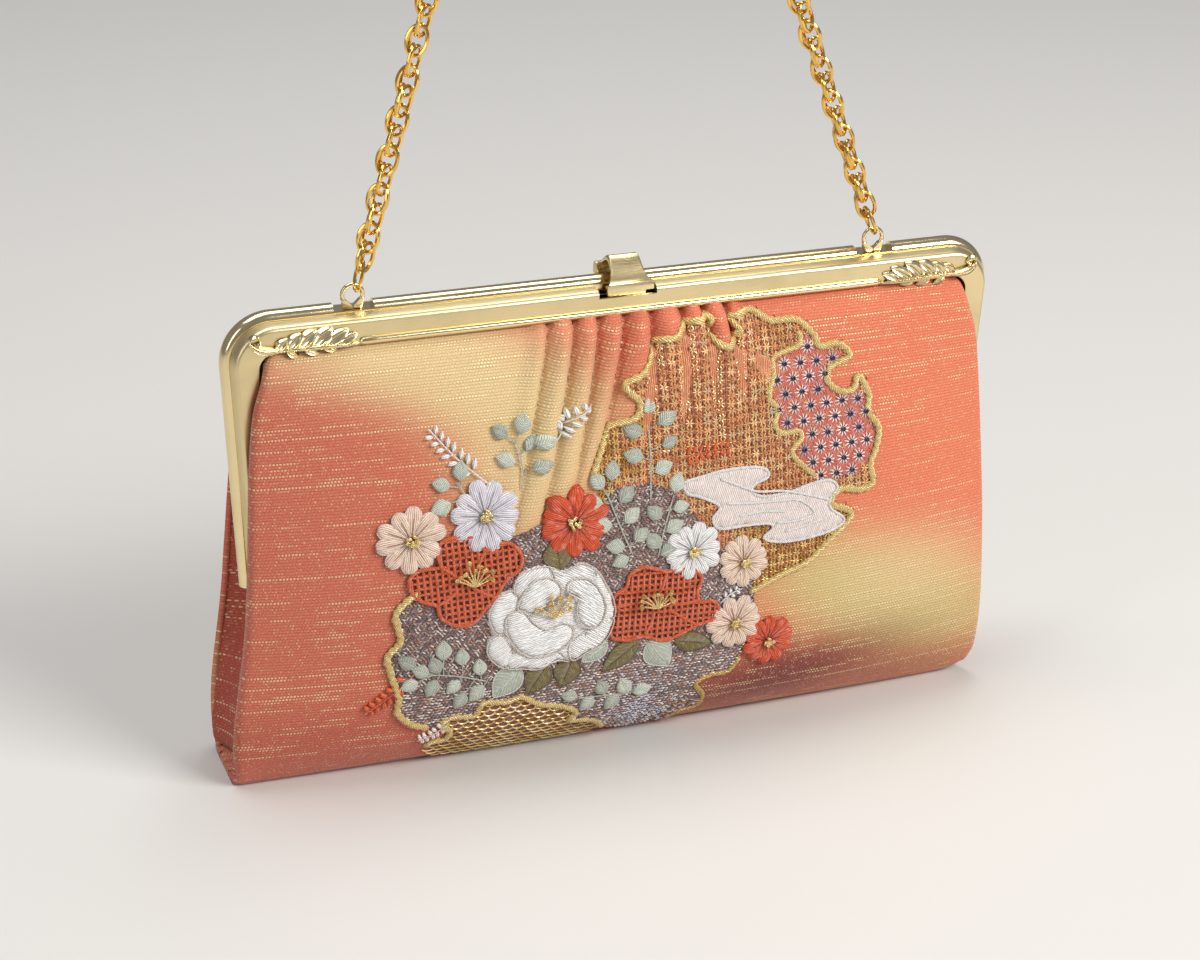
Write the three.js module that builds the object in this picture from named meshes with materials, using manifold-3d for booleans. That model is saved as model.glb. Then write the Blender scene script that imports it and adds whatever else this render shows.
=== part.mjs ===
// A formal frame clutch: a padded cloth bag gathered into a hinged brass frame,
// with a lift-up clasp, cast leaves on the frame's corners and a chain handle held up at its middle.
// Millimetres, +Z up, the front towards -Y. The origin is the point where the chain is held.
import * as THREE from "three";
import { mergeVertices } from "three/addons/utils/BufferGeometryUtils.js";
import Module from "manifold-3d";

const wasm = await Module();
wasm.setup();

// Frame, measured from the parting line between its two halves
const SHOULDER_WIDTH = 235; // over the shoulder lines of the two legs, at the top corners
const LEG_TAPER = 3.7; // each leg comes in this much from its corner to its hinge
const CORNER_RADIUS = 12;
const FASCIA_HEIGHT = 7.6; // the flat band over the cloth
const LEG_TOP_WIDTH = 7.2; // the same band just below a corner
const LEG_END_WIDTH = 3.8; // and at the hinge
const FACE_DEPTH = 7; // from the middle of the bag to the band's outer face
const SHEET = 0.8; // the frame's sheet metal
const CHANNEL_WIDTH = 2.8; // the slot that takes the cloth's edge
const PARTING_CLEARANCE = 0.4;
const SHOULDER_DROP = 0.8;
const SHELF_RISE = 0.8; // the top shelf climbs this much towards the parting line
const RAIL_RISE = 2.8; // the round rail over the shoulder line
const RAIL_DROP = 1.6; // and how far it goes down inside
const BEAD_RADIUS = 1.1;
const HINGE_HEIGHT = 58; // hinge pin over the base
const EAR_RADIUS = 3;
const EAR_THICKNESS = 1;
const PIN_RADIUS = 1.1;
const RIVET_HEAD_RADIUS = 2;
const RIVET_HEAD_THICKNESS = 0.7;

// Cloth body
const CLOTH_HEIGHT = 135; // base to the band's lower edge
const BODY_FLARE = 3; // how far the cloth swells past the frame's shoulder at each side
const MOUTH_INSET = 10; // from the frame's shoulder in to the panels' top corners
const BODY_DEPTH = 54; // over the two crowned panels
const CREASE_DEPTH = 34; // over the two creases at each side
const CLOTH_WALL = 1.8;
const TUCK = 4.5; // how far the cloth goes up into the frame's channel
const PLEAT_PITCH = 8.2;
const PLEAT_DEPTH = 2.4;
const PLEAT_COUNT = 8;
const PLEAT_FAN = 0.55; // the pleats' spread below the frame, as a share of their pitch
const GUSSET_WALL = 2.1; // measured across the bag, so on the slant
const GUSSET_INSET = 2.25; // in from a panel's outer face
const GUSSET_ROUNDNESS = 2.2; // 1 is a sharp fold
const GUSSET_FOLD = 11; // how far a gusset folds in past the legs
const SEAM_CLEARANCE = 0.3;

// Chain, its lugs and its hold
const LUG_INSET = 36.2; // from the shoulder line in to each lug
const LUG_RING_RADIUS = 3; // middle of the wire
const LUG_WIRE = 1.3;
const LUG_RING_HEIGHT = 3.9; // ring's middle over the lug's foot
const LUG_TAB_WIDTH = 3;
const LUG_TAB_HEIGHT = 3;
const LUG_TAB_THICKNESS = 1.6;
const RAIL_GAP = 12; // the break in the rail at each lug
const LINK_SLIDE = [0.45, 0.1]; // how far the left and the right end link slid in along their rings
const CHAIN_WIDTH = 6.4;
const LINK_LENGTH = 10;
const LINK_WIDTH = 6.6;
const LINK_WIRE = 1.2;
const HOLD_X = -16; // where the two strands' lines cross
const HOLD_HEIGHT = 402;
const HOLD_RADIUS = 7; // of the bend over whatever holds the chain
const CHAIN_STEPS = 56;
const BEND_SHARE = 0.94; // of the bend, so that it leads smoothly into the strands

// Clasp
const CLASP_LIP_WIDTH = 14.4;
const CLASP_NECK_WIDTH = 9.6;
const CLASP_THICKNESS = 1.4;
const CLASP_LENGTH = 14.2; // hinge pin to lip
const CLASP_RISE = 5.4; // ridge over the hinge pin
const CLASP_PIN_HEIGHT = 3.5; // hinge pin over the frame's shoulder line
const CLASP_PIN_Y = 5.2;
const CLASP_PIN_RADIUS = 0.7;
const CLASP_BARREL_RADIUS = 1.5;
const CLASP_RUNNING_GAP = 0.3;
const CLASP_EAR_THICKNESS = 1;
const LIP_DROP = 3.3; // the lip's lower edge under the hinge pin
const NOTCH_WIDTH = 18;
const NOTCH_DEPTH = 2.2;
const CATCH_WIDTH = 12;
const CATCH_HEIGHT = 3.2;

// Cast corner leaves
const LEAF_LENGTH = 33;
const LEAF_HEIGHT = 6.2;
const LEAF_THICKNESS = 1;
const LEAF_INSET = 3; // outer tip to the shoulder line

const BEVEL_SHARE = 0.35; // of a plate's thickness, off its edges
const CLEARANCE = 0.3; // between pieces that touch

const HINGE_SPAN = SHOULDER_WIDTH - 2 * LEG_TAPER;
const LUG_SPACING = SHOULDER_WIDTH - 2 * LUG_INSET;
const BODY_WIDTH = SHOULDER_WIDTH + 2 * BODY_FLARE;
const MOUTH_WIDTH = SHOULDER_WIDTH - 2 * MOUTH_INSET;
const SHOULDER_Z = CLOTH_HEIGHT + FASCIA_HEIGHT;
const FRONT_PARTING_Y = CHANNEL_WIDTH + 2 * SHEET - FACE_DEPTH; // back of the front half
const TUCK_Y = FACE_DEPTH - SHEET - (CHANNEL_WIDTH - CLOTH_WALL) / 2; // outer face of the tucked cloth

// The cloth's sections, from the band down to the base. Each holds shares: height of CLOTH_HEIGHT,
// width from MOUTH_WIDTH (0) to BODY_WIDTH (1), crease of CREASE_DEPTH, crown of BODY_DEPTH,
// pleat of PLEAT_DEPTH, and fold the way from a gusset's edge (0) to its deepest fold (1).
const CLOTH_SECTIONS = [
  { height: 0.981, width: 0.11, crease: 0.5, crown: 0.32, pleat: 0.6, fold: 1 },
  { height: 0.948, width: 0.22, crease: 0.62, crown: 0.41, pleat: 1, fold: 1 },
  { height: 0.87, width: 0.47, crease: 0.66, crown: 0.56, pleat: 0.85, fold: 1 },
  { height: 0.76, width: 0.6, crease: 0.74, crown: 0.72, pleat: 0.55, fold: 1 },
  { height: 0.66, width: 0.68, crease: 0.82, crown: 0.84, pleat: 0.3, fold: 1 },
  { height: 0.55, width: 0.76, crease: 0.92, crown: 0.93, pleat: 0.12, fold: 1 },
  { height: 0.407, width: 0.87, crease: 1, crown: 1, pleat: 0, fold: 0.95 },
  { height: 0.222, width: 0.985, crease: 1, crown: 0.98, pleat: 0, fold: 0.45 },
  { height: 0.104, width: 1, crease: 0.95, crown: 0.88, pleat: 0, fold: 0.3 },
  { height: 0.037, width: 0.99, crease: 0.86, crown: 0.68, pleat: 0, fold: 0.2 },
  { height: 0.009, width: 0.93, crease: 0.75, crown: 0.52, pleat: 0, fold: 0.15 },
  { height: 0, width: 0.86, crease: 0.62, crown: 0.42, pleat: 0, fold: 0.15 },
];
const GUSSET_FIRST = 4; // rows of the table that a gusset spans
const GUSSET_LAST = 9;

// The clasp's ridge line, from the hinge pin to the lip. Shares of CLASP_LENGTH, CLASP_RISE,
// and of the way from CLASP_NECK_WIDTH (0) to CLASP_LIP_WIDTH (1).
const CLASP_SECTIONS = [
  { along: 0.04, rise: 0.3, flare: 0 },
  { along: 0.2, rise: 0.68, flare: 0 },
  { along: 0.36, rise: 0.94, flare: 0 },
  { along: 0.47, rise: 1, flare: 0 },
  { along: 0.57, rise: 0.88, flare: 0.02 },
  { along: 0.69, rise: 0.6, flare: 0.07 },
  { along: 0.81, rise: 0.28, flare: 0.25 },
  { along: 0.91, rise: 0.02, flare: 0.64 },
  { along: 1, rise: -0.16, flare: 1 },
];

// The outline of a corner leaf: shares of LEAF_LENGTH outwards and LEAF_HEIGHT upwards,
// each row a curve to (out, up) bent towards (bendOut, bendUp).
const LEAF_OUTLINE = [
  { bendOut: 0.12, bendUp: 0.98, out: 0.3, up: 1 },
  { bendOut: 0.36, bendUp: 0.98, out: 0.36, up: 0.8 },
  { bendOut: 0.44, bendUp: 0.95, out: 0.53, up: 0.78 },
  { bendOut: 0.57, bendUp: 0.75, out: 0.57, up: 0.58 },
  { bendOut: 0.64, bendUp: 0.64, out: 0.7, up: 0.52 },
  { bendOut: 0.75, bendUp: 0.4, out: 0.82, up: 0.36 },
  { bendOut: 0.93, bendUp: 0.42, out: 0.93, up: 0.8 },
  { bendOut: 0.97, bendUp: 0.92, out: 1, up: 0.75 },
  { bendOut: 1.01, bendUp: 0.1, out: 0.84, up: 0.1 },
  { bendOut: 0.78, bendUp: 0.1, out: 0.72, up: 0.16 },
  { bendOut: 0.4, bendUp: 0.06, out: 0, up: 0.1 },
];

// One of a lug's two flared tabs, from its outer foot up and back in to the ring: shares of
// LUG_TAB_WIDTH outwards and LUG_TAB_HEIGHT upwards, read as for a leaf.
const LUG_TAB_OUTLINE = [
  { bendOut: 1, bendUp: 0.5, out: 1.15, up: 1 },
  { bendOut: 0.5, bendUp: 0.9, out: 0.1, up: 0.3 },
];

const lerp = THREE.MathUtils.lerp;
const brass = new THREE.MeshStandardMaterial({ color: 0xcfb878, roughness: 0.34, metalness: 1 });
const polishedBrass = new THREE.MeshStandardMaterial({ color: 0xe0cf98, roughness: 0.16, metalness: 1 });
const chainGold = new THREE.MeshStandardMaterial({ color: 0xc8922e, roughness: 0.2, metalness: 1 });
const salmonCloth = new THREE.MeshStandardMaterial({ color: 0xd8705a, roughness: 0.6, metalness: 0.1 });

// Solids and geometries

function solidOf(geometry) {
  const bare = geometry.clone();
  bare.deleteAttribute("normal");
  bare.deleteAttribute("uv");
  const merged = mergeVertices(bare, 1e-4);
  const mesh = new wasm.Mesh({
    numProp: 3,
    vertProperties: merged.attributes.position.array,
    triVerts: new Uint32Array(merged.index.array),
  });
  return new wasm.Manifold(mesh);
}

function geometryOf(solid) {
  const mesh = solid.getMesh();
  const geometry = new THREE.BufferGeometry();
  geometry.setAttribute("position", new THREE.BufferAttribute(mesh.vertProperties, mesh.numProp));
  geometry.setIndex(new THREE.BufferAttribute(mesh.triVerts, 1));
  geometry.computeVertexNormals();
  return geometry;
}

function signedVolume(geometry) {
  const p = geometry.attributes.position;
  const index = geometry.index.array;
  const [a, b, c] = [new THREE.Vector3(), new THREE.Vector3(), new THREE.Vector3()];
  let volume = 0;
  for (let i = 0; i < index.length; i += 3) {
    a.fromBufferAttribute(p, index[i]);
    b.fromBufferAttribute(p, index[i + 1]);
    c.fromBufferAttribute(p, index[i + 2]);
    volume += a.dot(b.cross(c)) / 6;
  }
  return volume;
}

// Triangles over a flat outline, each in the outline's own direction
function capFaces(outline) {
  const count = outline.length;
  if (!THREE.ShapeUtils.isClockWise(outline)) return THREE.ShapeUtils.triangulateShape(outline, []);
  const faces = THREE.ShapeUtils.triangulateShape([...outline].reverse(), []);
  return faces.map(([a, b, c]) => [count - 1 - c, count - 1 - b, count - 1 - a]);
}

// A closed body through rings of points; flatten turns a point into the plane that its end caps are cut in.
function loft(rings, flatten) {
  const count = rings[0].length;
  const index = [];
  for (let i = 0; i + 1 < rings.length; i++) {
    for (let j = 0; j < count; j++) {
      const a = i * count + j;
      const b = i * count + ((j + 1) % count);
      index.push(a, b, b + count, a, b + count, a + count);
    }
  }
  const last = (rings.length - 1) * count;
  for (const [a, b, c] of capFaces(rings[0].map(flatten))) index.push(c, b, a);
  for (const [a, b, c] of capFaces(rings.at(-1).map(flatten))) index.push(a + last, b + last, c + last);
  const geometry = new THREE.BufferGeometry();
  const numbers = rings.flat().flatMap((p) => [p.x, p.y, p.z]);
  geometry.setAttribute("position", new THREE.Float32BufferAttribute(numbers, 3));
  geometry.setIndex(index);
  if (signedVolume(geometry) < 0) geometry.setIndex(index.reverse());
  geometry.computeVertexNormals();
  return geometry;
}

function box(width, depth, height, x, y, z) {
  return new THREE.BoxGeometry(width, depth, height).translate(x, y, z);
}

// A rod along X
function rod(radius, length, x, y, z, sides = 16) {
  return new THREE.CylinderGeometry(radius, radius, length, sides).rotateZ(Math.PI / 2).translate(x, y, z);
}

function part(name, geometry, material) {
  const mesh = new THREE.Mesh(geometry, material);
  mesh.name = name;
  return mesh;
}

// Frame

// Stations round the frame from the left hinge to the right one: a point on the shoulder line,
// its outward direction and the band's width there.
function frameStations() {
  const side = SHOULDER_WIDTH / 2;
  const arcX = side - CORNER_RADIUS;
  const arcZ = SHOULDER_Z - CORNER_RADIUS;
  const lean = Math.atan2(side - HINGE_SPAN / 2, arcZ - HINGE_HEIGHT);
  const right = [];
  const legSteps = 4;
  for (let i = 0; i < legSteps; i++) {
    const t = i / legSteps;
    right.push({
      x: lerp(HINGE_SPAN / 2, side, t),
      z: lerp(HINGE_HEIGHT, arcZ, t),
      nx: Math.cos(lean),
      nz: -Math.sin(lean),
      width: lerp(LEG_END_WIDTH, LEG_TOP_WIDTH, t),
    });
  }
  const arcSteps = 6;
  for (let i = 0; i <= arcSteps; i++) {
    const angle = ((i / arcSteps) * Math.PI) / 2;
    right.push({
      x: arcX + CORNER_RADIUS * Math.cos(angle),
      z: arcZ + CORNER_RADIUS * Math.sin(angle),
      nx: Math.cos(angle),
      nz: Math.sin(angle),
      width: lerp(LEG_TOP_WIDTH, FASCIA_HEIGHT, i / arcSteps),
    });
  }
  const left = right.map((s) => ({ ...s, x: -s.x, nx: -s.nx }));
  return [...left, ...right.reverse()];
}

function sweepFrame(profile) {
  const rings = frameStations().map((s) =>
    profile(s.width).map(([y, out]) => new THREE.Vector3(s.x + s.nx * out, y, s.z + s.nz * out)),
  );
  return loft(rings, (p) => new THREE.Vector2(p.y, Math.abs(p.x)));
}

// The channel that both halves share, as [depth from the middle, out from the shoulder line]
function channel(width) {
  const inner = FACE_DEPTH - SHEET - CHANNEL_WIDTH;
  return {
    outside: [
      [FACE_DEPTH, -width],
      [FACE_DEPTH, -SHOULDER_DROP],
      [FACE_DEPTH - SHOULDER_DROP, 0],
    ],
    inside: [
      [inner - SHEET, SHEET - width],
      [inner, SHEET - width],
      [inner, SHELF_RISE - 2 * SHEET],
      [FACE_DEPTH - SHEET, -SHOULDER_DROP - SHEET],
      [FACE_DEPTH - SHEET, -width],
    ],
  };
}

function frontProfile(width) {
  const { outside, inside } = channel(width);
  const points = [...outside, [-FRONT_PARTING_Y, SHELF_RISE], ...inside];
  return points.map(([depth, out]) => [-depth, out]);
}

// The back half also carries the round rail, which closes down to the parting line.
function backProfile(width) {
  const { outside, inside } = channel(width);
  const railFront = FRONT_PARTING_Y + PARTING_CLEARANCE;
  const railBack = inside[1][0];
  const middle = (railFront + railBack) / 2;
  const half = (railBack - railFront) / 2;
  const rail = [];
  const railSteps = 6;
  for (let i = 0; i <= railSteps; i++) {
    const angle = (i / railSteps) * Math.PI;
    rail.push([middle + half * Math.cos(angle), SHELF_RISE + (RAIL_RISE - SHELF_RISE) * Math.sin(angle)]);
  }
  return [...outside, ...rail, [railFront, -RAIL_DROP], [inside[0][0], -RAIL_DROP], ...inside];
}

function railPieceAt(x) {
  return box(RAIL_GAP, 2 * FACE_DEPTH, 2 * RAIL_RISE, x, 0, SHOULDER_Z + SHELF_RISE + RAIL_RISE);
}

// Distance from the middle of the bag to an ear: the front half's is outside, the back half's inside it.
function earX(layer) {
  return HINGE_SPAN / 2 - CLEARANCE - EAR_THICKNESS / 2 - layer * (EAR_THICKNESS + CLEARANCE);
}

// An ear round the hinge pin and the arm that joins it to its leg
function hingeEar(side, layer, towards) {
  const x = side * earX(layer);
  const reach = FACE_DEPTH - SHEET / 2;
  const disc = solidOf(rod(EAR_RADIUS, EAR_THICKNESS, x, 0, HINGE_HEIGHT, 16));
  const armZ = HINGE_HEIGHT + EAR_RADIUS / 2;
  return disc.add(solidOf(box(EAR_THICKNESS, reach, EAR_RADIUS, x, (towards * reach) / 2, armZ)));
}

function pinHole(side) {
  return solidOf(rod(PIN_RADIUS + CLEARANCE, 4 * FACE_DEPTH, (side * HINGE_SPAN) / 2, 0, HINGE_HEIGHT, 12));
}

// What a half must leave free round the hinge: the other half's ear, and outside it the rivet's head
function earRoom(side, layer) {
  const radius = Math.hypot(EAR_RADIUS, EAR_RADIUS) + CLEARANCE;
  const middle = earX(layer);
  const inner = middle - EAR_THICKNESS / 2 - CLEARANCE;
  const outer = layer === 0 ? SHOULDER_WIDTH / 2 + RAIL_RISE : middle + EAR_THICKNESS / 2 + CLEARANCE;
  return solidOf(rod(radius, outer - inner, (side * (outer + inner)) / 2, 0, HINGE_HEIGHT, 16));
}

function frontFrame() {
  let solid = solidOf(sweepFrame(frontProfile));
  const beadLength = SHOULDER_WIDTH - 2 * (LEAF_LENGTH + LEAF_INSET) - 2 * CLEARANCE;
  solid = solid.add(solidOf(rod(BEAD_RADIUS, beadLength, 0, -FACE_DEPTH, CLOTH_HEIGHT + BEAD_RADIUS, 10)));
  const notchHeight = NOTCH_DEPTH + RAIL_RISE;
  const notchZ = SHOULDER_Z - NOTCH_DEPTH + notchHeight / 2;
  solid = solid.subtract(solidOf(box(NOTCH_WIDTH, 2 * FACE_DEPTH, notchHeight, 0, -FACE_DEPTH, notchZ)));
  for (const side of [-1, 1]) {
    solid = solid.subtract(earRoom(side, 1)).add(hingeEar(side, 0, -1)).subtract(pinHole(side));
  }
  return geometryOf(solid);
}

function backFrame() {
  let solid = solidOf(sweepFrame(backProfile));
  for (const side of [-1, 1]) {
    solid = solid.subtract(solidOf(railPieceAt((side * LUG_SPACING) / 2)));
    solid = solid.subtract(earRoom(side, 0)).add(hingeEar(side, 1, 1)).subtract(pinHole(side));
  }
  return geometryOf(solid);
}

function hingeRivet(side) {
  const outer = earX(0) + EAR_THICKNESS / 2 + CLEARANCE;
  const inner = earX(1) - EAR_THICKNESS / 2 - CLEARANCE;
  const head = (x) => solidOf(rod(RIVET_HEAD_RADIUS, RIVET_HEAD_THICKNESS, side * x, 0, HINGE_HEIGHT, 12));
  const shank = solidOf(rod(PIN_RADIUS, outer - inner, (side * (outer + inner)) / 2, 0, HINGE_HEIGHT, 12));
  const half = RIVET_HEAD_THICKNESS / 2;
  return geometryOf(shank.add(head(outer + half)).add(head(inner - half)));
}

// Cloth

// Shares of the panel's half width where its columns stand outside the pleats
const PANEL_COLUMNS = [1, 0.965, 0.88, 0.76, 0.62, 0.48];
const COLUMNS_PER_PLEAT = 4;

// All the columns: close together over the pleats.
function panelColumns(pleated) {
  const pleatShare = (PLEAT_PITCH * 2) / MOUTH_WIDTH;
  const edge = (pleatShare * PLEAT_COUNT) / 2;
  const outer = PANEL_COLUMNS.filter((u) => u > edge + pleatShare / 2);
  const perPleat = pleated ? COLUMNS_PER_PLEAT : 1;
  const middle = [];
  for (let i = 0; i <= PLEAT_COUNT * perPleat; i++) {
    middle.push(-edge + (2 * edge * i) / (PLEAT_COUNT * perPleat));
  }
  return [...outer.map((u) => -u), ...middle, ...outer.reverse()];
}

function pleatAt(u) {
  const along = (u * MOUTH_WIDTH) / 2 / PLEAT_PITCH;
  const inside = THREE.MathUtils.clamp(PLEAT_COUNT / 2 - Math.abs(along), 0, 1);
  return inside * Math.abs(Math.sin(Math.PI * along)) ** 0.8;
}

// Outer face of a panel at share u of its width and a row of the table, towards -Y
function panelPoint(u, row) {
  const half = lerp(MOUTH_WIDTH, BODY_WIDTH, row.width) / 2;
  const spread = (1 - row.height) / (1 - CLOTH_SECTIONS[5].height);
  const fanned = u + PLEAT_FAN * Math.min(1, spread) * u * (1 - u * u) ** 2;
  const crease = (CREASE_DEPTH / 2) * row.crease;
  const crown = (BODY_DEPTH / 2) * row.crown;
  const depth = lerp(crown, crease, Math.abs(fanned) ** 3);
  const lift = PLEAT_DEPTH * row.pleat * row.pleated * pleatAt(u);
  return new THREE.Vector3(half * fanned, -depth - lift, CLOTH_HEIGHT * row.height);
}

function panelColumn(u, pleated) {
  const tuckX = (MOUTH_WIDTH / 2) * u;
  const outer = [
    new THREE.Vector3(tuckX, -TUCK_Y, CLOTH_HEIGHT + TUCK),
    new THREE.Vector3(tuckX, -TUCK_Y, CLOTH_HEIGHT),
    ...CLOTH_SECTIONS.map((row) => panelPoint(u, { ...row, pleated })),
  ];
  outer.push(new THREE.Vector3(outer.at(-1).x, -SEAM_CLEARANCE / 2, 0));
  const inner = outer.map((p, i) => {
    const before = outer[Math.max(i - 1, 0)];
    const after = outer[Math.min(i + 1, outer.length - 1)];
    const along = new THREE.Vector2(after.y - before.y, after.z - before.z).normalize();
    return new THREE.Vector3(p.x, p.y - CLOTH_WALL * along.y, p.z + CLOTH_WALL * along.x);
  });
  inner[inner.length - 1].set(outer.at(-1).x, -SEAM_CLEARANCE / 2, CLOTH_WALL);
  return [...outer, ...inner.reverse()];
}

function panel(side, pleated) {
  const rings = panelColumns(pleated).map((u) => panelColumn(u, pleated));
  for (const p of side > 0 ? rings.flat() : []) p.y = -p.y;
  return loft(rings, (p) => new THREE.Vector2(p.y, p.z));
}

// A gusset closes the side between the two creases and folds in behind the hinge.
function gusset(side) {
  const steps = 10;
  const rings = CLOTH_SECTIONS.slice(GUSSET_FIRST, GUSSET_LAST + 1).map((row) => {
    const edgeX = lerp(MOUTH_WIDTH, BODY_WIDTH, row.width) / 2 - SEAM_CLEARANCE;
    const edgeY = (CREASE_DEPTH / 2) * row.crease - GUSSET_INSET - SEAM_CLEARANCE;
    const foldX = HINGE_SPAN / 2 - LEG_END_WIDTH - GUSSET_FOLD;
    const fold = (edgeX - foldX) * row.fold;
    const face = (inset) => {
      const line = [];
      for (let i = 0; i <= steps; i++) {
        const share = (2 * i) / steps - 1;
        const x = edgeX - inset - fold * (1 - Math.abs(share) ** GUSSET_ROUNDNESS);
        line.push(new THREE.Vector3(side * x, edgeY * share, CLOTH_HEIGHT * row.height));
      }
      return line;
    };
    return [...face(0), ...face(GUSSET_WALL).reverse()];
  });
  return loft(rings, (p) => new THREE.Vector2(Math.abs(p.x), p.y));
}

// Chain

function wireShape(wire) {
  return new THREE.Shape(new THREE.EllipseCurve(0, 0, wire / 2, wire / 2).getPoints(6).slice(0, -1));
}

function lug(side) {
  const footZ = SHOULDER_Z + SHELF_RISE + CLEARANCE;
  const middleZ = footZ + LUG_RING_HEIGHT;
  const points = [];
  const steps = 12;
  for (let i = 0; i <= steps; i++) {
    const angle = lerp(-0.3 * Math.PI, 1.3 * Math.PI, i / steps);
    const [x, z] = [LUG_RING_RADIUS * Math.cos(angle), LUG_RING_RADIUS * Math.sin(angle)];
    points.push(new THREE.Vector3(x, 0, middleZ + z));
  }
  const ring = new THREE.ExtrudeGeometry(wireShape(LUG_WIRE), {
    steps,
    bevelEnabled: false,
    extrudePath: new THREE.CatmullRomCurve3(points),
  });
  let solid = solidOf(ring);
  for (const way of [-1, 1]) {
    const tab = new THREE.Shape();
    tab.moveTo(way * LUG_TAB_WIDTH * 0.1, 0);
    tab.lineTo(way * LUG_TAB_WIDTH * 0.9, 0);
    for (const c of LUG_TAB_OUTLINE) {
      tab.quadraticCurveTo(
        way * LUG_TAB_WIDTH * c.bendOut,
        LUG_TAB_HEIGHT * c.bendUp,
        way * LUG_TAB_WIDTH * c.out,
        LUG_TAB_HEIGHT * c.up,
      );
    }
    const plate = new THREE.ExtrudeGeometry(tab, {
      depth: LUG_TAB_THICKNESS,
      bevelEnabled: false,
      curveSegments: 3,
    });
    plate.rotateX(Math.PI / 2).translate(0, LUG_TAB_THICKNESS / 2, footZ);
    solid = solid.add(solidOf(plate));
  }
  const footHeight = 0.3 * LUG_TAB_HEIGHT;
  const foot = box(2 * LUG_TAB_WIDTH, LUG_TAB_THICKNESS, footHeight, 0, 0, footZ + footHeight / 2);
  solid = solid.add(solidOf(foot));
  return geometryOf(solid).translate((side * LUG_SPACING) / 2, 0, 0);
}

// A strand leaves its lug's ring in a straight line towards the point where the two lines cross.
function strand(side) {
  const slide = side < 0 ? LINK_SLIDE[0] : LINK_SLIDE[1];
  const ringZ = SHOULDER_Z + SHELF_RISE + CLEARANCE + LUG_RING_HEIGHT;
  const footX = side * (LUG_SPACING / 2 - slide * LUG_RING_RADIUS);
  const foot = new THREE.Vector3(footX, 0, ringZ + LUG_RING_RADIUS * Math.sqrt(1 - slide ** 2));
  const cross = new THREE.Vector3(HOLD_X, 0, HOLD_HEIGHT);
  return { foot, cross, along: cross.clone().sub(foot).normalize() };
}

// The link that passes through a lug, seen edge on from the front: a ring pulled long
function endLink(side) {
  const { foot, along } = strand(side);
  const bends = 12;
  const link = new THREE.TorusGeometry((LINK_WIDTH - LINK_WIRE) / 2, LINK_WIRE / 2, 6, bends);
  link.rotateZ(Math.PI / bends);
  const p = link.attributes.position;
  const straight = LINK_LENGTH - LINK_WIDTH;
  for (let i = 0; i < p.count; i++) p.setY(i, p.getY(i) + (Math.sign(p.getY(i)) * straight) / 2);
  link.rotateX(Math.PI / 2).rotateZ(Math.PI / 2);
  const lift = (LINK_LENGTH - LUG_WIRE) / 2 - LINK_WIRE - CLEARANCE;
  const middle = foot.clone().addScaledVector(along, lift);
  link.rotateY(Math.atan2(along.x, along.z)).translate(middle.x, middle.y, middle.z);
  return geometryOf(solidOf(link));
}

// The chain's line: up one strand, round the bend where it is held, and down the other
function chainLine() {
  const [left, right] = [strand(-1), strand(1)];
  const half = left.along.angleTo(right.along) / 2;
  const cross = left.cross;
  const tangent = HOLD_RADIUS / Math.tan(half);
  const bisector = left.along.clone().add(right.along).normalize();
  const centre = cross.clone().addScaledVector(bisector, -HOLD_RADIUS / Math.sin(half));
  const start = LINK_LENGTH - LUG_WIRE / 2 - LINK_WIRE;
  const strandPoints = ({ foot, along }) => {
    const length = foot.distanceTo(cross) - tangent;
    const spots = [0, 0.25, 0.5, 0.75, 0.93, 1];
    return spots.map((t) => foot.clone().addScaledVector(along, lerp(start, length, t)));
  };
  const bend = [];
  const bendSteps = 4;
  const across = new THREE.Vector3(bisector.z, 0, -bisector.x);
  for (let i = 1; i < bendSteps; i++) {
    const angle = lerp(-(Math.PI / 2 + half), Math.PI / 2 + half, i / bendSteps) * BEND_SHARE;
    bend.push(
      centre
        .clone()
        .addScaledVector(bisector, HOLD_RADIUS * Math.cos(angle))
        .addScaledVector(across, HOLD_RADIUS * Math.sin(angle)),
    );
  }
  const top = centre.clone().addScaledVector(bisector, HOLD_RADIUS);
  const points = [...strandPoints(left), ...bend, ...strandPoints(right).reverse()];
  return { line: new THREE.CatmullRomCurve3(points), top };
}

function chain() {
  const sides = 8;
  const half = CHAIN_WIDTH / 2;
  const outline = new THREE.EllipseCurve(0, 0, half, half).getPoints(sides).slice(0, -1);
  return new THREE.ExtrudeGeometry(new THREE.Shape(outline), {
    steps: CHAIN_STEPS,
    bevelEnabled: false,
    extrudePath: chainLine().line,
  });
}

// Clasp

const claspPinZ = SHOULDER_Z + CLASP_PIN_HEIGHT;

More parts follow.
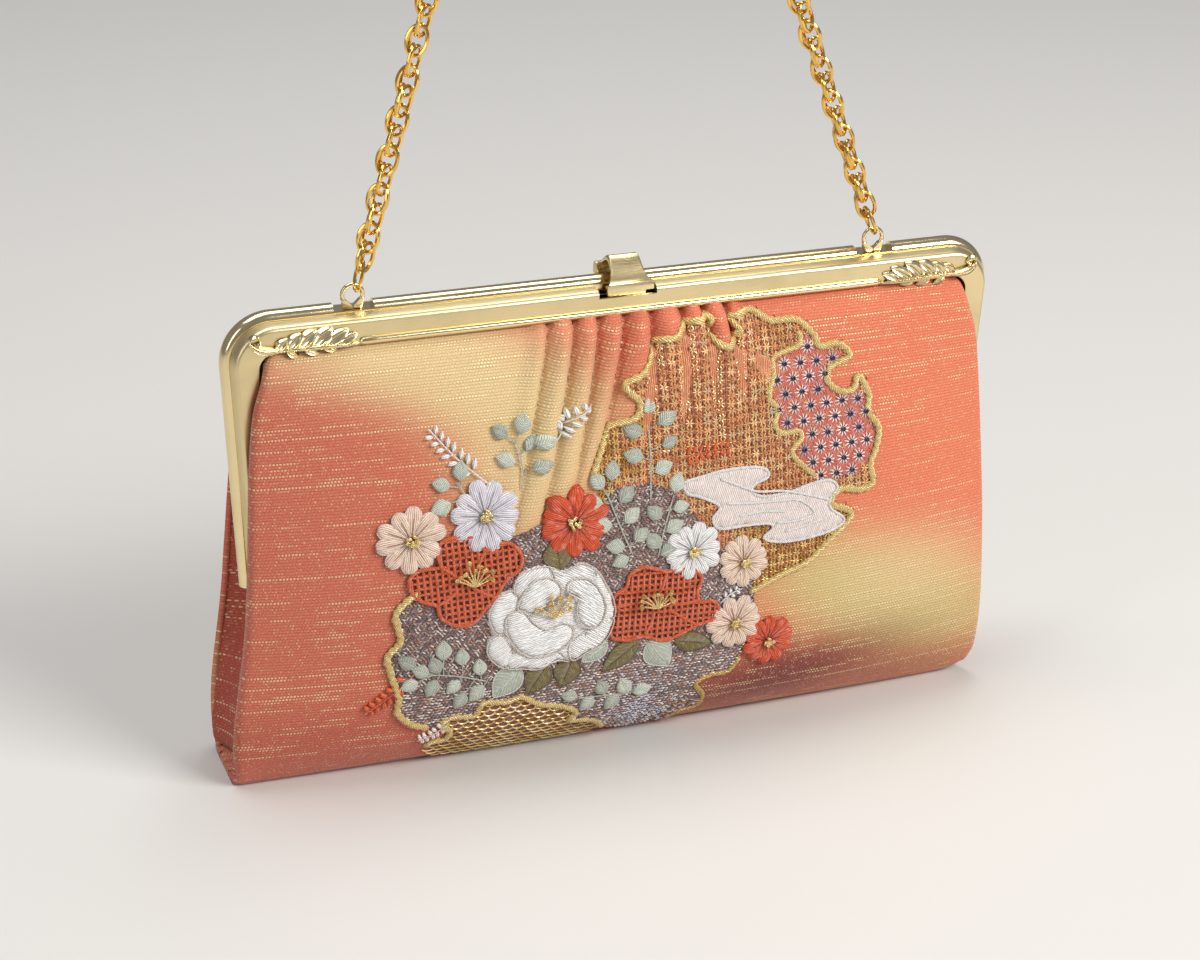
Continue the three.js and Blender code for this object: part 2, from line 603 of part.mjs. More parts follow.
function claspTab() {
  const bevel = CLASP_THICKNESS * BEVEL_SHARE;
  const rings = CLASP_SECTIONS.map((row) => {
    const y = CLASP_PIN_Y - CLASP_LENGTH * row.along;
    const z = claspPinZ + CLASP_RISE * row.rise;
    const half = lerp(CLASP_NECK_WIDTH, CLASP_LIP_WIDTH, row.flare) / 2;
    const section = [
      [-half, z - CLASP_THICKNESS],
      [half, z - CLASP_THICKNESS],
      [half, z - bevel],
      [half - bevel, z],
      [bevel - half, z],
      [-half, z - bevel],
    ];
    return section.map(([x, height]) => new THREE.Vector3(x, y, height));
  });
  const lipTop = claspPinZ + CLASP_RISE * CLASP_SECTIONS.at(-1).rise - bevel;
  const lipHeight = lipTop - claspPinZ + LIP_DROP;
  const lipY = CLASP_PIN_Y - CLASP_LENGTH + CLASP_THICKNESS / 2;
  const lip = box(CLASP_LIP_WIDTH, CLASP_THICKNESS, lipHeight, 0, lipY, lipTop - lipHeight / 2);
  const barrel = rod(CLASP_BARREL_RADIUS, CLASP_NECK_WIDTH, 0, CLASP_PIN_Y, claspPinZ, 16);
  const bore = rod(CLASP_PIN_RADIUS + CLASP_RUNNING_GAP, 2 * CLASP_NECK_WIDTH, 0, CLASP_PIN_Y, claspPinZ, 12);
  const plate = solidOf(loft(rings, (p) => new THREE.Vector2(p.x, p.z)));
  return geometryOf(plate.add(solidOf(lip)).add(solidOf(barrel)).subtract(solidOf(bore)));
}

// The bracket on the back half: two ears, the pin between them and the plate under the barrel
function claspBracket() {
  const cheekX = CLASP_NECK_WIDTH / 2 + CLASP_RUNNING_GAP + CLASP_EAR_THICKNESS / 2;
  const seatZ = SHOULDER_Z + SHELF_RISE + CLEARANCE;
  const plateTop = claspPinZ - CLASP_BARREL_RADIUS - CLASP_RUNNING_GAP;
  const span = 2 * cheekX + CLASP_EAR_THICKNESS;
  const depth = 2 * CLASP_BARREL_RADIUS;
  const height = claspPinZ - seatZ;
  let solid = solidOf(rod(CLASP_PIN_RADIUS, span, 0, CLASP_PIN_Y, claspPinZ, 12));
  solid = solid.add(solidOf(box(span, depth, plateTop - seatZ, 0, CLASP_PIN_Y, (plateTop + seatZ) / 2)));
  for (const x of [-cheekX, cheekX]) {
    solid = solid.add(solidOf(rod(CLASP_BARREL_RADIUS, CLASP_EAR_THICKNESS, x, CLASP_PIN_Y, claspPinZ, 16)));
    solid = solid.add(solidOf(box(CLASP_EAR_THICKNESS, depth, height, x, CLASP_PIN_Y, seatZ + height / 2)));
  }
  return geometryOf(solid);
}

// The catch stands in the front half's channel and shows in the notch under the lip.
function claspCatch() {
  const foot = CLOTH_HEIGHT + TUCK + CLEARANCE;
  const y = -(FACE_DEPTH - SHEET - CHANNEL_WIDTH / 2);
  return box(CATCH_WIDTH, CHANNEL_WIDTH - 2 * CLEARANCE, CATCH_HEIGHT, 0, y, foot + CATCH_HEIGHT / 2);
}

// Corner leaves

function cornerLeaf(side) {
  const shape = new THREE.Shape();
  shape.moveTo(0, 0.1 * LEAF_HEIGHT);
  shape.lineTo(0, 0.72 * LEAF_HEIGHT);
  for (const c of LEAF_OUTLINE) {
    shape.quadraticCurveTo(
      c.bendOut * LEAF_LENGTH,
      c.bendUp * LEAF_HEIGHT,
      c.out * LEAF_LENGTH,
      c.up * LEAF_HEIGHT,
    );
  }
  const bevel = LEAF_THICKNESS * BEVEL_SHARE;
  const leaf = new THREE.ExtrudeGeometry(shape, {
    depth: LEAF_THICKNESS - bevel,
    bevelEnabled: true,
    bevelThickness: bevel / 2,
    bevelSize: bevel / 2,
    bevelOffset: -bevel / 2,
    bevelSegments: 1,
    curveSegments: 3,
  });
  const inner = SHOULDER_WIDTH / 2 - LEAF_INSET - LEAF_LENGTH;
  leaf.rotateX(Math.PI / 2).translate(inner, -FACE_DEPTH - CLEARANCE - bevel / 2, CLOTH_HEIGHT);
  if (side > 0) return leaf;
  return geometryOf(solidOf(leaf).mirror([1, 0, 0]));
}

const bag = new THREE.Group();
bag.add(
  part("front_frame", frontFrame(), brass),
  part("back_frame", backFrame(), brass),
  part("front_panel", panel(-1, 1), salmonCloth),
  part("back_panel", panel(1, 0), salmonCloth),
  part("clasp_tab", claspTab(), polishedBrass),
  part("clasp_bracket", claspBracket(), brass),
  part("clasp_catch", claspCatch(), polishedBrass),
  part("chain", chain(), chainGold),
);
for (const [side, word] of [
  [-1, "left"],
  [1, "right"],
]) {
  bag.add(
    part("hinge_rivet_" + word, hingeRivet(side), polishedBrass),
    part("gusset_" + word, gusset(side), salmonCloth),
    part("corner_leaf_" + word, cornerLeaf(side), polishedBrass),
    part("chain_lug_" + word, lug(side), polishedBrass),
    part("end_link_" + word, endLink(side), chainGold),
  );
}
const held = chainLine().top;
bag.position.set(-held.x, -held.y, -held.z);

const clutch = new THREE.Group();
clutch.add(bag);

export default clutch;
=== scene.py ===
"""A frame clutch for a formal kimono: misty salmon brocade under a brass frame,
with an embroidered flower roundel, a flip clasp and a double-link chain."""

import math
import random

import bmesh
import bpy
import numpy as np
from mathutils import Matrix, Vector
from mathutils.bvhtree import BVHTree
from mathutils.geometry import delaunay_2d_cdt


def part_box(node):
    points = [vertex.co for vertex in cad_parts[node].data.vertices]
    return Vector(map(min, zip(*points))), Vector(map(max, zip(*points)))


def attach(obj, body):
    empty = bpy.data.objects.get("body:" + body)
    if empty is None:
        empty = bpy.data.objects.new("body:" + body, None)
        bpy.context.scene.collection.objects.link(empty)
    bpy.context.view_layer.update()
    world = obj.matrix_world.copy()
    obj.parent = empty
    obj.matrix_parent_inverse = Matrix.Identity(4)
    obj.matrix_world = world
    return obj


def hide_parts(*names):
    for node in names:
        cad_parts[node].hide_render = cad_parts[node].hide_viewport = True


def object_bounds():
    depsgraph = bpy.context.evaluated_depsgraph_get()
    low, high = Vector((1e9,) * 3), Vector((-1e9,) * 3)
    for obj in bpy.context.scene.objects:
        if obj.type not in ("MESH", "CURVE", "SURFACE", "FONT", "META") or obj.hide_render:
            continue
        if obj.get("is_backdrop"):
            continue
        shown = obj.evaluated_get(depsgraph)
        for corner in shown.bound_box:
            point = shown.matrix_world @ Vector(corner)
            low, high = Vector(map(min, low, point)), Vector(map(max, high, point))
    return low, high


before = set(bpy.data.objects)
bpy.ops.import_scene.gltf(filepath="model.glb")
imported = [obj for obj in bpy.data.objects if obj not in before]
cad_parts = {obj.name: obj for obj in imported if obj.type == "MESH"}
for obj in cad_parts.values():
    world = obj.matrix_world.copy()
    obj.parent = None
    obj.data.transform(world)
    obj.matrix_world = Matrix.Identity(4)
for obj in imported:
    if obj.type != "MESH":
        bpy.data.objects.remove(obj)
cad_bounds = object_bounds()

# The pale table that the clutch stands on, the soft light over it and the camera.
# Places are in millimetres from the middle of the clutch's base, towards -Y for the front.
panel_low, panel_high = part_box("front_panel")
SEAM_GAP = 0.15
base_middle = Vector(((panel_low.x + panel_high.x) / 2, panel_high.y + SEAM_GAP / 1000, panel_low.z))


def at(x, y, z):
    return base_middle + Vector((x, y, z)) / 1000


def dyed(red, green, blue):
    """A colour as it is seen on a screen, 0 to 255, as the linear colour of a shader."""
    share = [c / 255 for c in (red, green, blue)]
    return (*[c / 12.92 if c <= 0.04045 else ((c + 0.055) / 1.055) ** 2.4 for c in share], 1)


def dyes(*colours):
    return tuple(dyed(*colour) for colour in colours)


def placed(name, data):
    """A new object of this data, in the scene."""
    made = bpy.data.objects.new(name, data)
    bpy.context.collection.objects.link(made)
    return made


class Wire:
    """An output of a material's node, to reckon with."""

    def __init__(self, finish, socket):
        self.finish, self.socket = finish, socket

    def sum(self, operation, *values):
        return self.finish.node("ShaderNodeMath", {"operation": operation}, dict(enumerate(values)))

    def __add__(self, other):
        return self.sum("ADD", self, other)

    def __sub__(self, other):
        return self.sum("SUBTRACT", self, other)

    def __mul__(self, other):
        return self.sum("MULTIPLY", self, other)

    def __truediv__(self, other):
        return self.sum("DIVIDE", self, other)

    def __rsub__(self, other):
        return self.sum("SUBTRACT", other, self)

    __radd__ = __add__

    def bulge(self):
        """0 at every whole number and 1 halfway between them."""
        return self.sum("SINE", self.sum("FRACT", self) * math.pi)

    def over(self, low, high):
        """0 below low, 1 above high and smooth between."""
        sockets = {"Value": self, "From Min": low, "From Max": high}
        return self.finish.node("ShaderNodeMapRange", {"interpolation_type": "SMOOTHSTEP"}, sockets)


class Finish:
    """A material of one Principled shader and the nodes in front of it."""

    def __init__(self, name, **constants):
        self.material = bpy.data.materials.new(name)
        self.material.use_nodes = True
        self.tree = self.material.node_tree
        self.shader = self.tree.nodes["Principled BSDF"]
        for socket, value in constants.items():
            self.feed(socket.replace("_", " "), value)

    def join(self, socket, value):
        if isinstance(value, Wire):
            self.tree.links.new(value.socket, socket)
        else:
            socket.default_value = value

    def feed(self, socket, value):
        self.join(self.shader.inputs[socket], value)

    def node(self, kind, settings=None, sockets=None, out=0):
        made = self.tree.nodes.new(kind)
        for name, value in (settings or {}).items():
            setattr(made, name, value)
        for key, value in (sockets or {}).items():
            self.join(made.inputs[key], value)
        return Wire(self, made.outputs[out])

    def place(self):
        """Object coordinates in metres."""
        return self.node("ShaderNodeTexCoord", out=3)

    def mark(self, name, part="Vector"):
        """A value kept on the mesh."""
        settings = {"attribute_name": name}
        return self.node("ShaderNodeAttribute", settings, out=["Color", "Vector", "Fac"].index(part))

    def parts(self, vector):
        split = vector.finish.node("ShaderNodeSeparateXYZ", sockets={0: vector}).socket.node
        return [Wire(self, output) for output in split.outputs]

    def joined(self, x, y, z):
        return self.node("ShaderNodeCombineXYZ", sockets={0: x, 1: y, 2: z})

    def stretched(self, vector, scale):
        return self.node("ShaderNodeVectorMath", {"operation": "MULTIPLY"}, {0: vector, 1: scale})

    def noise(self, vector, scale, detail=2.0):
        return self.node("ShaderNodeTexNoise", sockets={"Vector": vector, "Scale": scale, "Detail": detail})

    def mix(self, share, first, second):
        return self.node("ShaderNodeMix", {"data_type": "RGBA"}, {0: share, 6: first, 7: second}, out=2)

    def bump(self, height, distance, strength=1.0):
        sockets = {"Height": height, "Distance": distance, "Strength": strength}
        self.feed("Normal", self.node("ShaderNodeBump", sockets=sockets))


FLOOR_HALF = 14.0  # in metres
floor_mesh = bpy.data.meshes.new("table_top")
corners = [(x * FLOOR_HALF, y * FLOOR_HALF, base_middle.z) for x, y in ((-1, -1), (1, -1), (1, 1), (-1, 1))]
floor_mesh.from_pydata(corners, [], [(0, 1, 2, 3)])
floor = placed("table_top", floor_mesh)
table_finish = Finish("pale_table", Base_Color=dyed(214, 211, 206), Roughness=0.55)
floor_mesh.materials.append(table_finish.material)
floor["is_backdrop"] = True

CAMERA_AIM = (-4.8, 0, 78.8)
CAMERA_DISTANCE = 0.858
CAMERA_YAW, CAMERA_PITCH, CAMERA_ROLL = (math.radians(a) for a in (20.7, 25.0, 1.4))
CAMERA_LENS = 85.07
turn = Matrix.Rotation(-CAMERA_YAW, 4, "Z") @ Matrix.Rotation(math.pi / 2 - CAMERA_PITCH, 4, "X")
turn = turn @ Matrix.Rotation(CAMERA_ROLL, 4, "Z")
camera = placed("camera", bpy.data.cameras.new("camera"))
camera.data.lens = CAMERA_LENS
camera.data.clip_start = 0.01
camera.matrix_world = Matrix.Translation(at(*CAMERA_AIM)) @ turn @ Matrix.Translation((0, 0, CAMERA_DISTANCE))
bpy.context.scene.camera = camera
bpy.context.scene.view_settings.view_transform = "Standard"
LIGHT_AIM = (0, 0, 70)


def softbox(name, place, width, height, power, tone=(1, 1, 1)):
    light = bpy.data.lights.new(name, "AREA")
    light.shape, light.size, light.size_y = "RECTANGLE", width, height
    light.energy, light.color = power, tone
    away = Vector(place) - at(*LIGHT_AIM)
    aim = away.to_track_quat("Z", "Y").to_matrix().to_4x4()
    placed(name, light).matrix_world = Matrix.Translation(place) @ aim


softbox("key_light", (0.85, -1.05, 0.7), 0.8, 0.6, 25, (1, 0.985, 0.96))
softbox("top_light", (-0.1, 0.3, 1.1), 1.6, 0.6, 14)
softbox("side_light", (-1.3, -0.6, 0.3), 0.35, 1.0, 3, (0.96, 0.98, 1))
room = bpy.data.worlds.new("room")
room.use_nodes = True
room_light = room.node_tree.nodes["Background"].inputs
room_light["Color"].default_value = (0.82, 0.85, 0.9, 1)
room_light["Strength"].default_value = 0.28
bpy.context.scene.world = room

# The front panel: brocade woven with broken rows of gold thread and dyed in mists, backed to 1.8 mm,
# gathered under the middle of the frame, full in the belly and turned under to the seam of the base.
CLOTH_WALL = 1.8
FRONT_PROFILE = np.array([  # height, half width, depth at the edge, depth in the middle
    (139.5, 107.5, 5.7, 5.7),
    (135, 107.5, 5.8, 5.9),
    (132.4, 109, 8.3, 8.8),
    (128, 110.4, 10.5, 11.4),
    (117.5, 113.6, 11.6, 15.2),
    (102.6, 115.4, 12.8, 19.4),
    (89, 116.4, 14.2, 22.7),
    (74, 117.4, 15.7, 25.1),
    (55, 118.8, 16.8, 27),
    (30, 120.3, 17, 26.5),
    (14, 120.4, 16.2, 23.8),
    (5, 119.4, 14.6, 18.4),
    (1.2, 116.5, 12.8, 14.2),
    (0, 113, 10.5, 11.3),
    (0, 113, SEAM_GAP, SEAM_GAP),
])
FRONT_FOLDS = np.array([  # gathers: x under the frame, x and height where each runs out
    (-33, -50, 84),
    (-24.2, -42, 74),
    (-16.2, -33, 74),
    (-8.7, -24, 77),
    (-0.6, -12.5, 98),
    (7.6, 0.1, 92),
    (17, 13.5, 98),
    (23.4, 25.3, 92),
    (30.5, 34.5, 100),
    (37.8, 44, 108),
])
BAND_EDGE = 135.8  # the cloth comes out from under the frame here
CORNER_FLARE, FLARE_TOP = 3.8, 60.0  # the lower left corner stands out, from this height down
LEFT_FOOT_HALF, FOOT_TOP = 119.6, 14.0  # it keeps this half width below this height
CORNER_ROUND = 10.0  # the lower right one is round
EDGE_SHARE, EDGE_DROP = 0.982, 2.0  # past this share of its width a panel rounds back by this much
PANEL_STEP = 1.25
FRONT_FOLD_HEIGHT, BACK_FOLD_HEIGHT = 7.6, 1.8
GATHERED_SHARE = 0.56  # the gathers lie within this share of the front's width


def smooth_through(table, spots):
    """The columns of a table on a smooth line through its rows, at these row numbers."""
    last = len(table) - 1
    i = np.clip(spots.astype(int), 0, last - 1)
    t = (spots - i)[:, None]
    before, start, end, after = (table[np.clip(i + k, 0, last)] for k in (-1, 0, 1, 2))
    square = 2 * before - 5 * start + 4 * end - after
    cube = 3 * start - before - 3 * end + after
    return 0.5 * (2 * start + (end - before) * t + square * t**2 + cube * t**3)


def even_rows(table, columns, step):
    """Row numbers that lie one step apart on the smooth line, and the length up to each."""
    fine = np.linspace(0, len(table) - 1, 3000)
    gaps = np.linalg.norm(np.diff(smooth_through(table, fine)[:, columns], axis=0), axis=1)
    length = np.concatenate([[0], np.cumsum(gaps)])
    spots = np.linspace(0, length[-1], int(length[-1] / step) + 1)
    return np.interp(spots, length, fine), spots


def eased(t):
    t = np.clip(t, 0, 1)
    return t * t * (3 - 2 * t)


def gathered(x, z, folds, height):
    """How far the gathers lift the cloth: round between the fold lines, sharp in them."""
    lift = np.zeros_like(x)
    numbers = np.arange(len(folds))
    last = len(folds) - 1
    for row in range(len(x)):
        way = np.clip((BAND_EDGE - z[row, 0]) / (BAND_EDGE - folds[:, 2]), 0, 2)
        lines = np.maximum.accumulate(folds[:, 0] + (folds[:, 1] - folds[:, 0]) * way) + numbers * 1e-3
        number = np.interp(x[row], lines, numbers)
        left = np.clip(np.interp(number, numbers, 1 - way), 0, 1)
        fade = np.where((number > 0) & (number < last), left**0.7, 0)
        fade = fade * eased((last - number) * 0.8) * eased(number * 0.8)
        full = eased((FRONT_PROFILE[0, 0] - z[row, 0]) / 6)
        lift[row] = height * full * fade * (np.abs(np.sin(math.pi * number)) ** 0.55 - 0.45)
    return lift


def panel_face(side, folds, fold_height, columns):
    """The outer face of a panel in millimetres, and the weave's x and length down the cloth."""
    spots, length = even_rows(FRONT_PROFILE, [0, 3], PANEL_STEP)
    z, half, edge, crown = (c[:, None] for c in smooth_through(FRONT_PROFILE, spots).T)
    share = columns[None, :]
    flare = CORNER_FLARE * eased((FLARE_TOP - z) / FLARE_TOP)
    left_half = np.maximum(half, np.where(z < FOOT_TOP, LEFT_FOOT_HALF, 0)) + flare
    sunk = np.clip(CORNER_ROUND - z, 0, CORNER_ROUND)
    cut = CORNER_ROUND - np.sqrt(np.maximum(CORNER_ROUND**2 - sunk**2, 0))
    right_half = half - np.where(z < CORNER_ROUND, np.minimum(cut, CORNER_ROUND * 0.8), 0)
    reach = half + (np.where(share < 0, left_half, right_half) - half) * np.abs(share) ** 5
    x, z = reach * share, np.maximum(z, 0) + 0 * share
    depth = crown + (edge - crown) * np.abs(share) ** 3 + gathered(x, z, folds, fold_height)
    turned = np.clip((np.abs(share) - EDGE_SHARE) / (1 - EDGE_SHARE), 0, 1)
    depth = depth - np.where(depth > 6, EDGE_DROP, 0) * (1 - np.sqrt(1 - turned**2))
    grid = np.stack([x, side * np.maximum(depth, SEAM_GAP), z], -1)
    weave = np.stack([x, length[:, None] + 0 * x, 0 * x], -1)
    return grid, weave


MARK_KINDS = {1: ("FLOAT", "value"), 3: ("FLOAT_VECTOR", "vector"), 4: ("FLOAT_COLOR", "color")}


def keep_mark(mesh, name, values):
    """Keeps a value, vector or colour for every point on the mesh."""
    values = np.asarray(values, np.float32)
    kind, slot = MARK_KINDS[values.shape[1]]
    mesh.attributes.new(name, kind, "POINT").data.foreach_set(slot, values.ravel())


class Form:
    """Gathers surfaces in the bag's millimetres and makes one mesh of them."""

    def __init__(self):
        self.points, self.faces, self.marks, self.count = [], [], {}, 0

    def surface(self, grid, ring=False, loop=False, ends=False, turned=False, **marks):
        """Rows and columns of points. ring joins the last column to the first, loop the rows."""
        grid = np.asarray(grid, float)
        rows, columns = grid.shape[:2]
        index = np.arange(rows * columns).reshape(rows, columns) + self.count
        here, beside = (index, np.roll(index, -1, 1)) if ring else (index[:, :-1], index[:, 1:])
        if loop:
            quads = np.stack([here, beside, np.roll(beside, -1, 0), np.roll(here, -1, 0)], -1)
        else:
            quads = np.stack([here[:-1], beside[:-1], beside[1:], here[1:]], -1)
        quads = quads.reshape(-1, 4)
        self.faces += (quads[:, ::-1] if turned else quads).tolist()
        if ends:
            self.faces += [index[0][::-1].tolist(), index[-1].tolist()]
        self.add_points(grid.reshape(-1, 3), marks)

    def add_points(self, points, marks):
        self.points.append(points)
        self.count += len(points)
        for name, value in marks.items():
            value = np.asarray(value, float)
            value = value.reshape(-1, value.shape[-1]) if value.ndim else value.reshape(1, 1)
            self.marks.setdefault(name, []).append(np.broadcast_to(value, (len(points), value.shape[-1])))

    def make(self, name, finish, closed=True, crease=math.radians(35)):
        mesh = bpy.data.meshes.new(name)
        points = np.concatenate(self.points) / 1000 + np.array(base_middle)
        mesh.from_pydata(points.tolist(), [], self.faces)
        for mark, values in self.marks.items():
            keep_mark(mesh, mark, np.concatenate(values))
        if closed:
            bm = bmesh.new()
            bm.from_mesh(mesh)
            bmesh.ops.recalc_face_normals(bm, faces=bm.faces)
            bm.to_mesh(mesh)
            bm.free()
        mesh.polygons.foreach_set("use_smooth", [True] * len(mesh.polygons))
        mesh.set_sharp_from_angle(angle=crease)
        mesh.materials.append(finish.material)
        return placed(name, mesh)


def on_bag(piece, slot):
    """The piece moves with the bag. The slot is not used."""
    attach(piece, "bag")


def misted(x, z, ground, mists):
    """The dyer's colours over a ground, and on the gussets painted shade. A mist is x, z, half length, half
    height, slope, strength, colour.
    """
    colour = ground
    for mist_x, mist_z, long, high, slope, strength, tone in mists:
        c, s = math.cos(math.radians(slope)), math.sin(math.radians(slope))
        u = ((x - mist_x) * c + (z - mist_z) * s) / long
        v = ((z - mist_z) * c - (x - mist_x) * s) / high
        share = (strength * np.exp(-((u**2 + v**2) ** 1.25)))[..., None]
        colour = colour * (1 - share) + np.array(dyed(*tone)) * share
    return colour


def brocade(name):
    """Weft ribs with broken rows of gold thread over the colour kept on the mesh, dye with painted shade and
    light, and with painted shade in the valleys of the weave.
    """
    rib, dot = 0.92, 0.98
    cloth = Finish(name, Sheen_Weight=0.25, Sheen_Roughness=0.4, Specular_IOR_Level=0.35)
    x, down, _ = cloth.parts(cloth.mark("weave"))
    wander = cloth.noise(cloth.joined(x * 0.06, down * 0.5, 0.0), 1.0, 1.0)
    rows = (down + wander * 0.5) / rib
    number = rows.sum("FLOOR", rows)
    ridge = rows.bulge()
    bead = (x / dot + number.sum("FRACT", number * 0.37)).bulge()
    pebble = ridge * (0.45 + bead * 0.55)
    sparse = cloth.noise(cloth.joined(number * 7.31, 2.0, 0.0), 1.0, 0.0)
    floats = cloth.noise(cloth.joined(x * 0.06, number * 3.71, 0.0), 1.0, 2.0)
    specks = cloth.noise(cloth.joined(x * 1.15, number * 5.17, 7.0), 1.0, 1.0)
    patches = cloth.noise(cloth.joined(x * 0.05, down * 0.09, 4.0), 1.0, 2.0)
    thick = cloth.noise(cloth.joined(x * 0.1, number * 1.93, 9.0), 1.0, 1.0)
    broken_rows = (floats + (sparse - 0.5) * 1.3 + (patches - 0.5) * 0.3).over(0.62, 0.68)
    gold = broken_rows * specks.over(0.3, 0.45) + specks.over(0.56, 0.66) * 0.6
    gold = gold * bead.over(0.35, 0.85) * ridge.over(0.35, 0.85)
    gold = gold.sum("MINIMUM", gold, 1.0)
    slub = thick.over(0.66, 0.74) * ridge.over(0.2, 0.7)
    grain = cloth.noise(cloth.joined(x * 1.6, down * 2.2, 0.0), 1.0, 3.0)
    dye = cloth.mark("dye", "Color")
    hollow, high = cloth.mix(0.22, dye, dyed(90, 30, 25)), cloth.mix(0.1, dye, dyed(255, 225, 190))
    shade = cloth.mix(grain.over(0.3, 0.75), hollow, high)
    # Painted shade: the valleys between the weft ribs and beads are darkened towards a deep red.
    shade = cloth.mix((1 - pebble) * 0.42, shade, cloth.mix(0.6, dye, dyed(105, 40, 32)))
    shade = cloth.mix(slub * 0.22, shade, cloth.mix(0.4, dye, dyed(255, 235, 205)))
    cloth.feed("Base Color", cloth.mix(gold * 0.8, shade, cloth.mix(0.25, dyed(252, 226, 172), dye)))
    cloth.feed("Metallic", gold * 0.4)
    cloth.feed("Roughness", 0.78 - gold * 0.42)
    cloth.bump(pebble * 0.8 + gold * 0.5 + slub * 0.35 + grain * 0.3, 0.00022, 0.8)
    return cloth


brocade_finish = brocade("misted_brocade")


def cloth_piece(name, grid, turned, wall, weave, dye):
    """A piece of the brocade, backed inwards to its wall."""
    form = Form()
    form.surface(grid, turned=turned, weave=weave, dye=dye)
    piece = form.make(name, brocade_finish, closed=False, crease=math.pi)
    backing = piece.modifiers.new("backing", "SOLIDIFY")
    backing.thickness, backing.offset = wall / 1000, -1
    on_bag(piece, "brocade_cloth")
    return piece


middle_columns = np.linspace(-GATHERED_SHARE, GATHERED_SHARE, 200)
side_columns = GATHERED_SHARE + (1 - GATHERED_SHARE) * np.linspace(0, 1, 48)[1:] ** 0.8
front_columns = np.concatenate([-side_columns[::-1], middle_columns, side_columns])
front_grid, front_weave = panel_face(-1, FRONT_FOLDS, FRONT_FOLD_HEIGHT, front_columns)
front_x, front_z = front_grid[..., 0], front_grid[..., 2]
# The ground goes from darker at the left to brighter at the right: painted shade and painted light of a lamp
# at the right, under the dyed mists.
across = eased((front_x + 120) / 240)[..., None]
front_ground = np.array(dyed(210, 108, 82)) * (1 - across) + np.array(dyed(242, 130, 92)) * across
CHAMPAGNE, OLIVE_GOLD = (240, 214, 156), (216, 198, 130)
front_dye = misted(front_x, front_z, front_ground, [
    (-72, 131, 44, 13, -14, 0.9, CHAMPAGNE),
    (-44, 119, 34, 17, -28, 0.9, CHAMPAGNE),
    (-30, 102, 22, 24, -20, 0.9, CHAMPAGNE),
    (-38, 88, 18, 16, 0, 0.7, CHAMPAGNE),
    (68, 43, 40, 17, -26, 0.95, OLIVE_GOLD),
    (98, 28, 38, 18, -12, 0.95, OLIVE_GOLD),
    (90, 46, 30, 15, -10, 0.6, CHAMPAGNE),
    (-95, 15, 60, 11, 0, 0.4, (170, 62, 52)),
    (46, 15, 46, 13, 4, 1.0, (118, 28, 26)),
    (96, 8, 36, 9, 0, 0.6, (158, 84, 50)),
])
front_panel = cloth_piece("brocade_front", front_grid, True, CLOTH_WALL, front_weave, front_dye)
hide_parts("front_panel")

# The back panel: the same brocade, gathered more lightly, its mists dyed across it the other way.
BACK_FOLDS = np.array([(x, 1.35 * x, 100) for x in (-34, -25, -16, -8, 0, 8, 16, 25, 34)], float)
back_grid, back_weave = panel_face(1, BACK_FOLDS, BACK_FOLD_HEIGHT, np.linspace(-1, 1, 190))
back_x, back_z = back_grid[..., 0], back_grid[..., 2]
back_ground = np.broadcast_to(np.array(dyed(222, 112, 84)), (*back_x.shape, 4))
back_dye = misted(back_x, back_z, back_ground, [
    (60, 118, 70, 18, 14, 0.65, CHAMPAGNE),
    (-70, 38, 70, 18, 20, 0.65, OLIVE_GOLD),
    (0, 2, 110, 13, 0, 0.5, (150, 46, 38)),
])
back_panel = cloth_piece("brocade_back", back_grid, False, CLOTH_WALL, back_weave, back_dye)
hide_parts("back_panel")

# The two gussets: narrow pieces of the brocade that close the sides below the hinges,
# folded inwards down the middle, deepest behind the hinge.
GUSSET_ROWS = np.array([  # height, edge x, half depth, fold inwards
    (89.1, 116.0, 12.0, 17.0),
    (74.3, 117.1, 13.6, 18.0),
    (55, 118.5, 15.0, 18.5),
    (30, 120.0, 15.1, 9.6),
    (14, 120.2, 14.2, 6.2),
    (5, 120.0, 12.7, 4.0),
    (2.5, 119.4, 11.6, 3.4),
])
GUSSET_WALL = 1.5
for side, word in ((-1, "left"), (1, "right")):
    spots, length = even_rows(GUSSET_ROWS, [0, 1], 1.6)
    z, edge, depth, fold = (c[:, None] for c in smooth_through(GUSSET_ROWS, spots).T)
    share = np.linspace(-1, 1, 41)[None, :]
    flare = CORNER_FLARE * eased((FLARE_TOP - z) / FLARE_TOP) if side < 0 else -1.5 * eased((10 - z) / 10)
    ripple = 0.5 * np.sin(z / 9 + 2.0 * side) * (1 - share**2)
    x = side * (edge + flare - fold * (1 - np.abs(share) ** 2.2) + ripple)
    grid = np.stack([x, depth * share, z + 0 * share], -1)
    weave = np.stack([grid[..., 1] + 40, length[:, None] + 0 * share, 0 * x], -1)
    # The gussets are painted a darker, redder tone than the panels, as shade on sides turned from the light,
    # and darker still towards the bottom.
    tone = np.broadcast_to(np.array(dyed(202, 90, 68)), (*x.shape, 4))
    dye = misted(x, z + 0 * x, tone, [(side * 118, 20, 60, 30, 0, 0.45, (165, 52, 44))])
    gusset = cloth_piece("gusset_cloth_" + word, grid, side > 0, GUSSET_WALL, weave, dye)
    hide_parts("gusset_" + word)

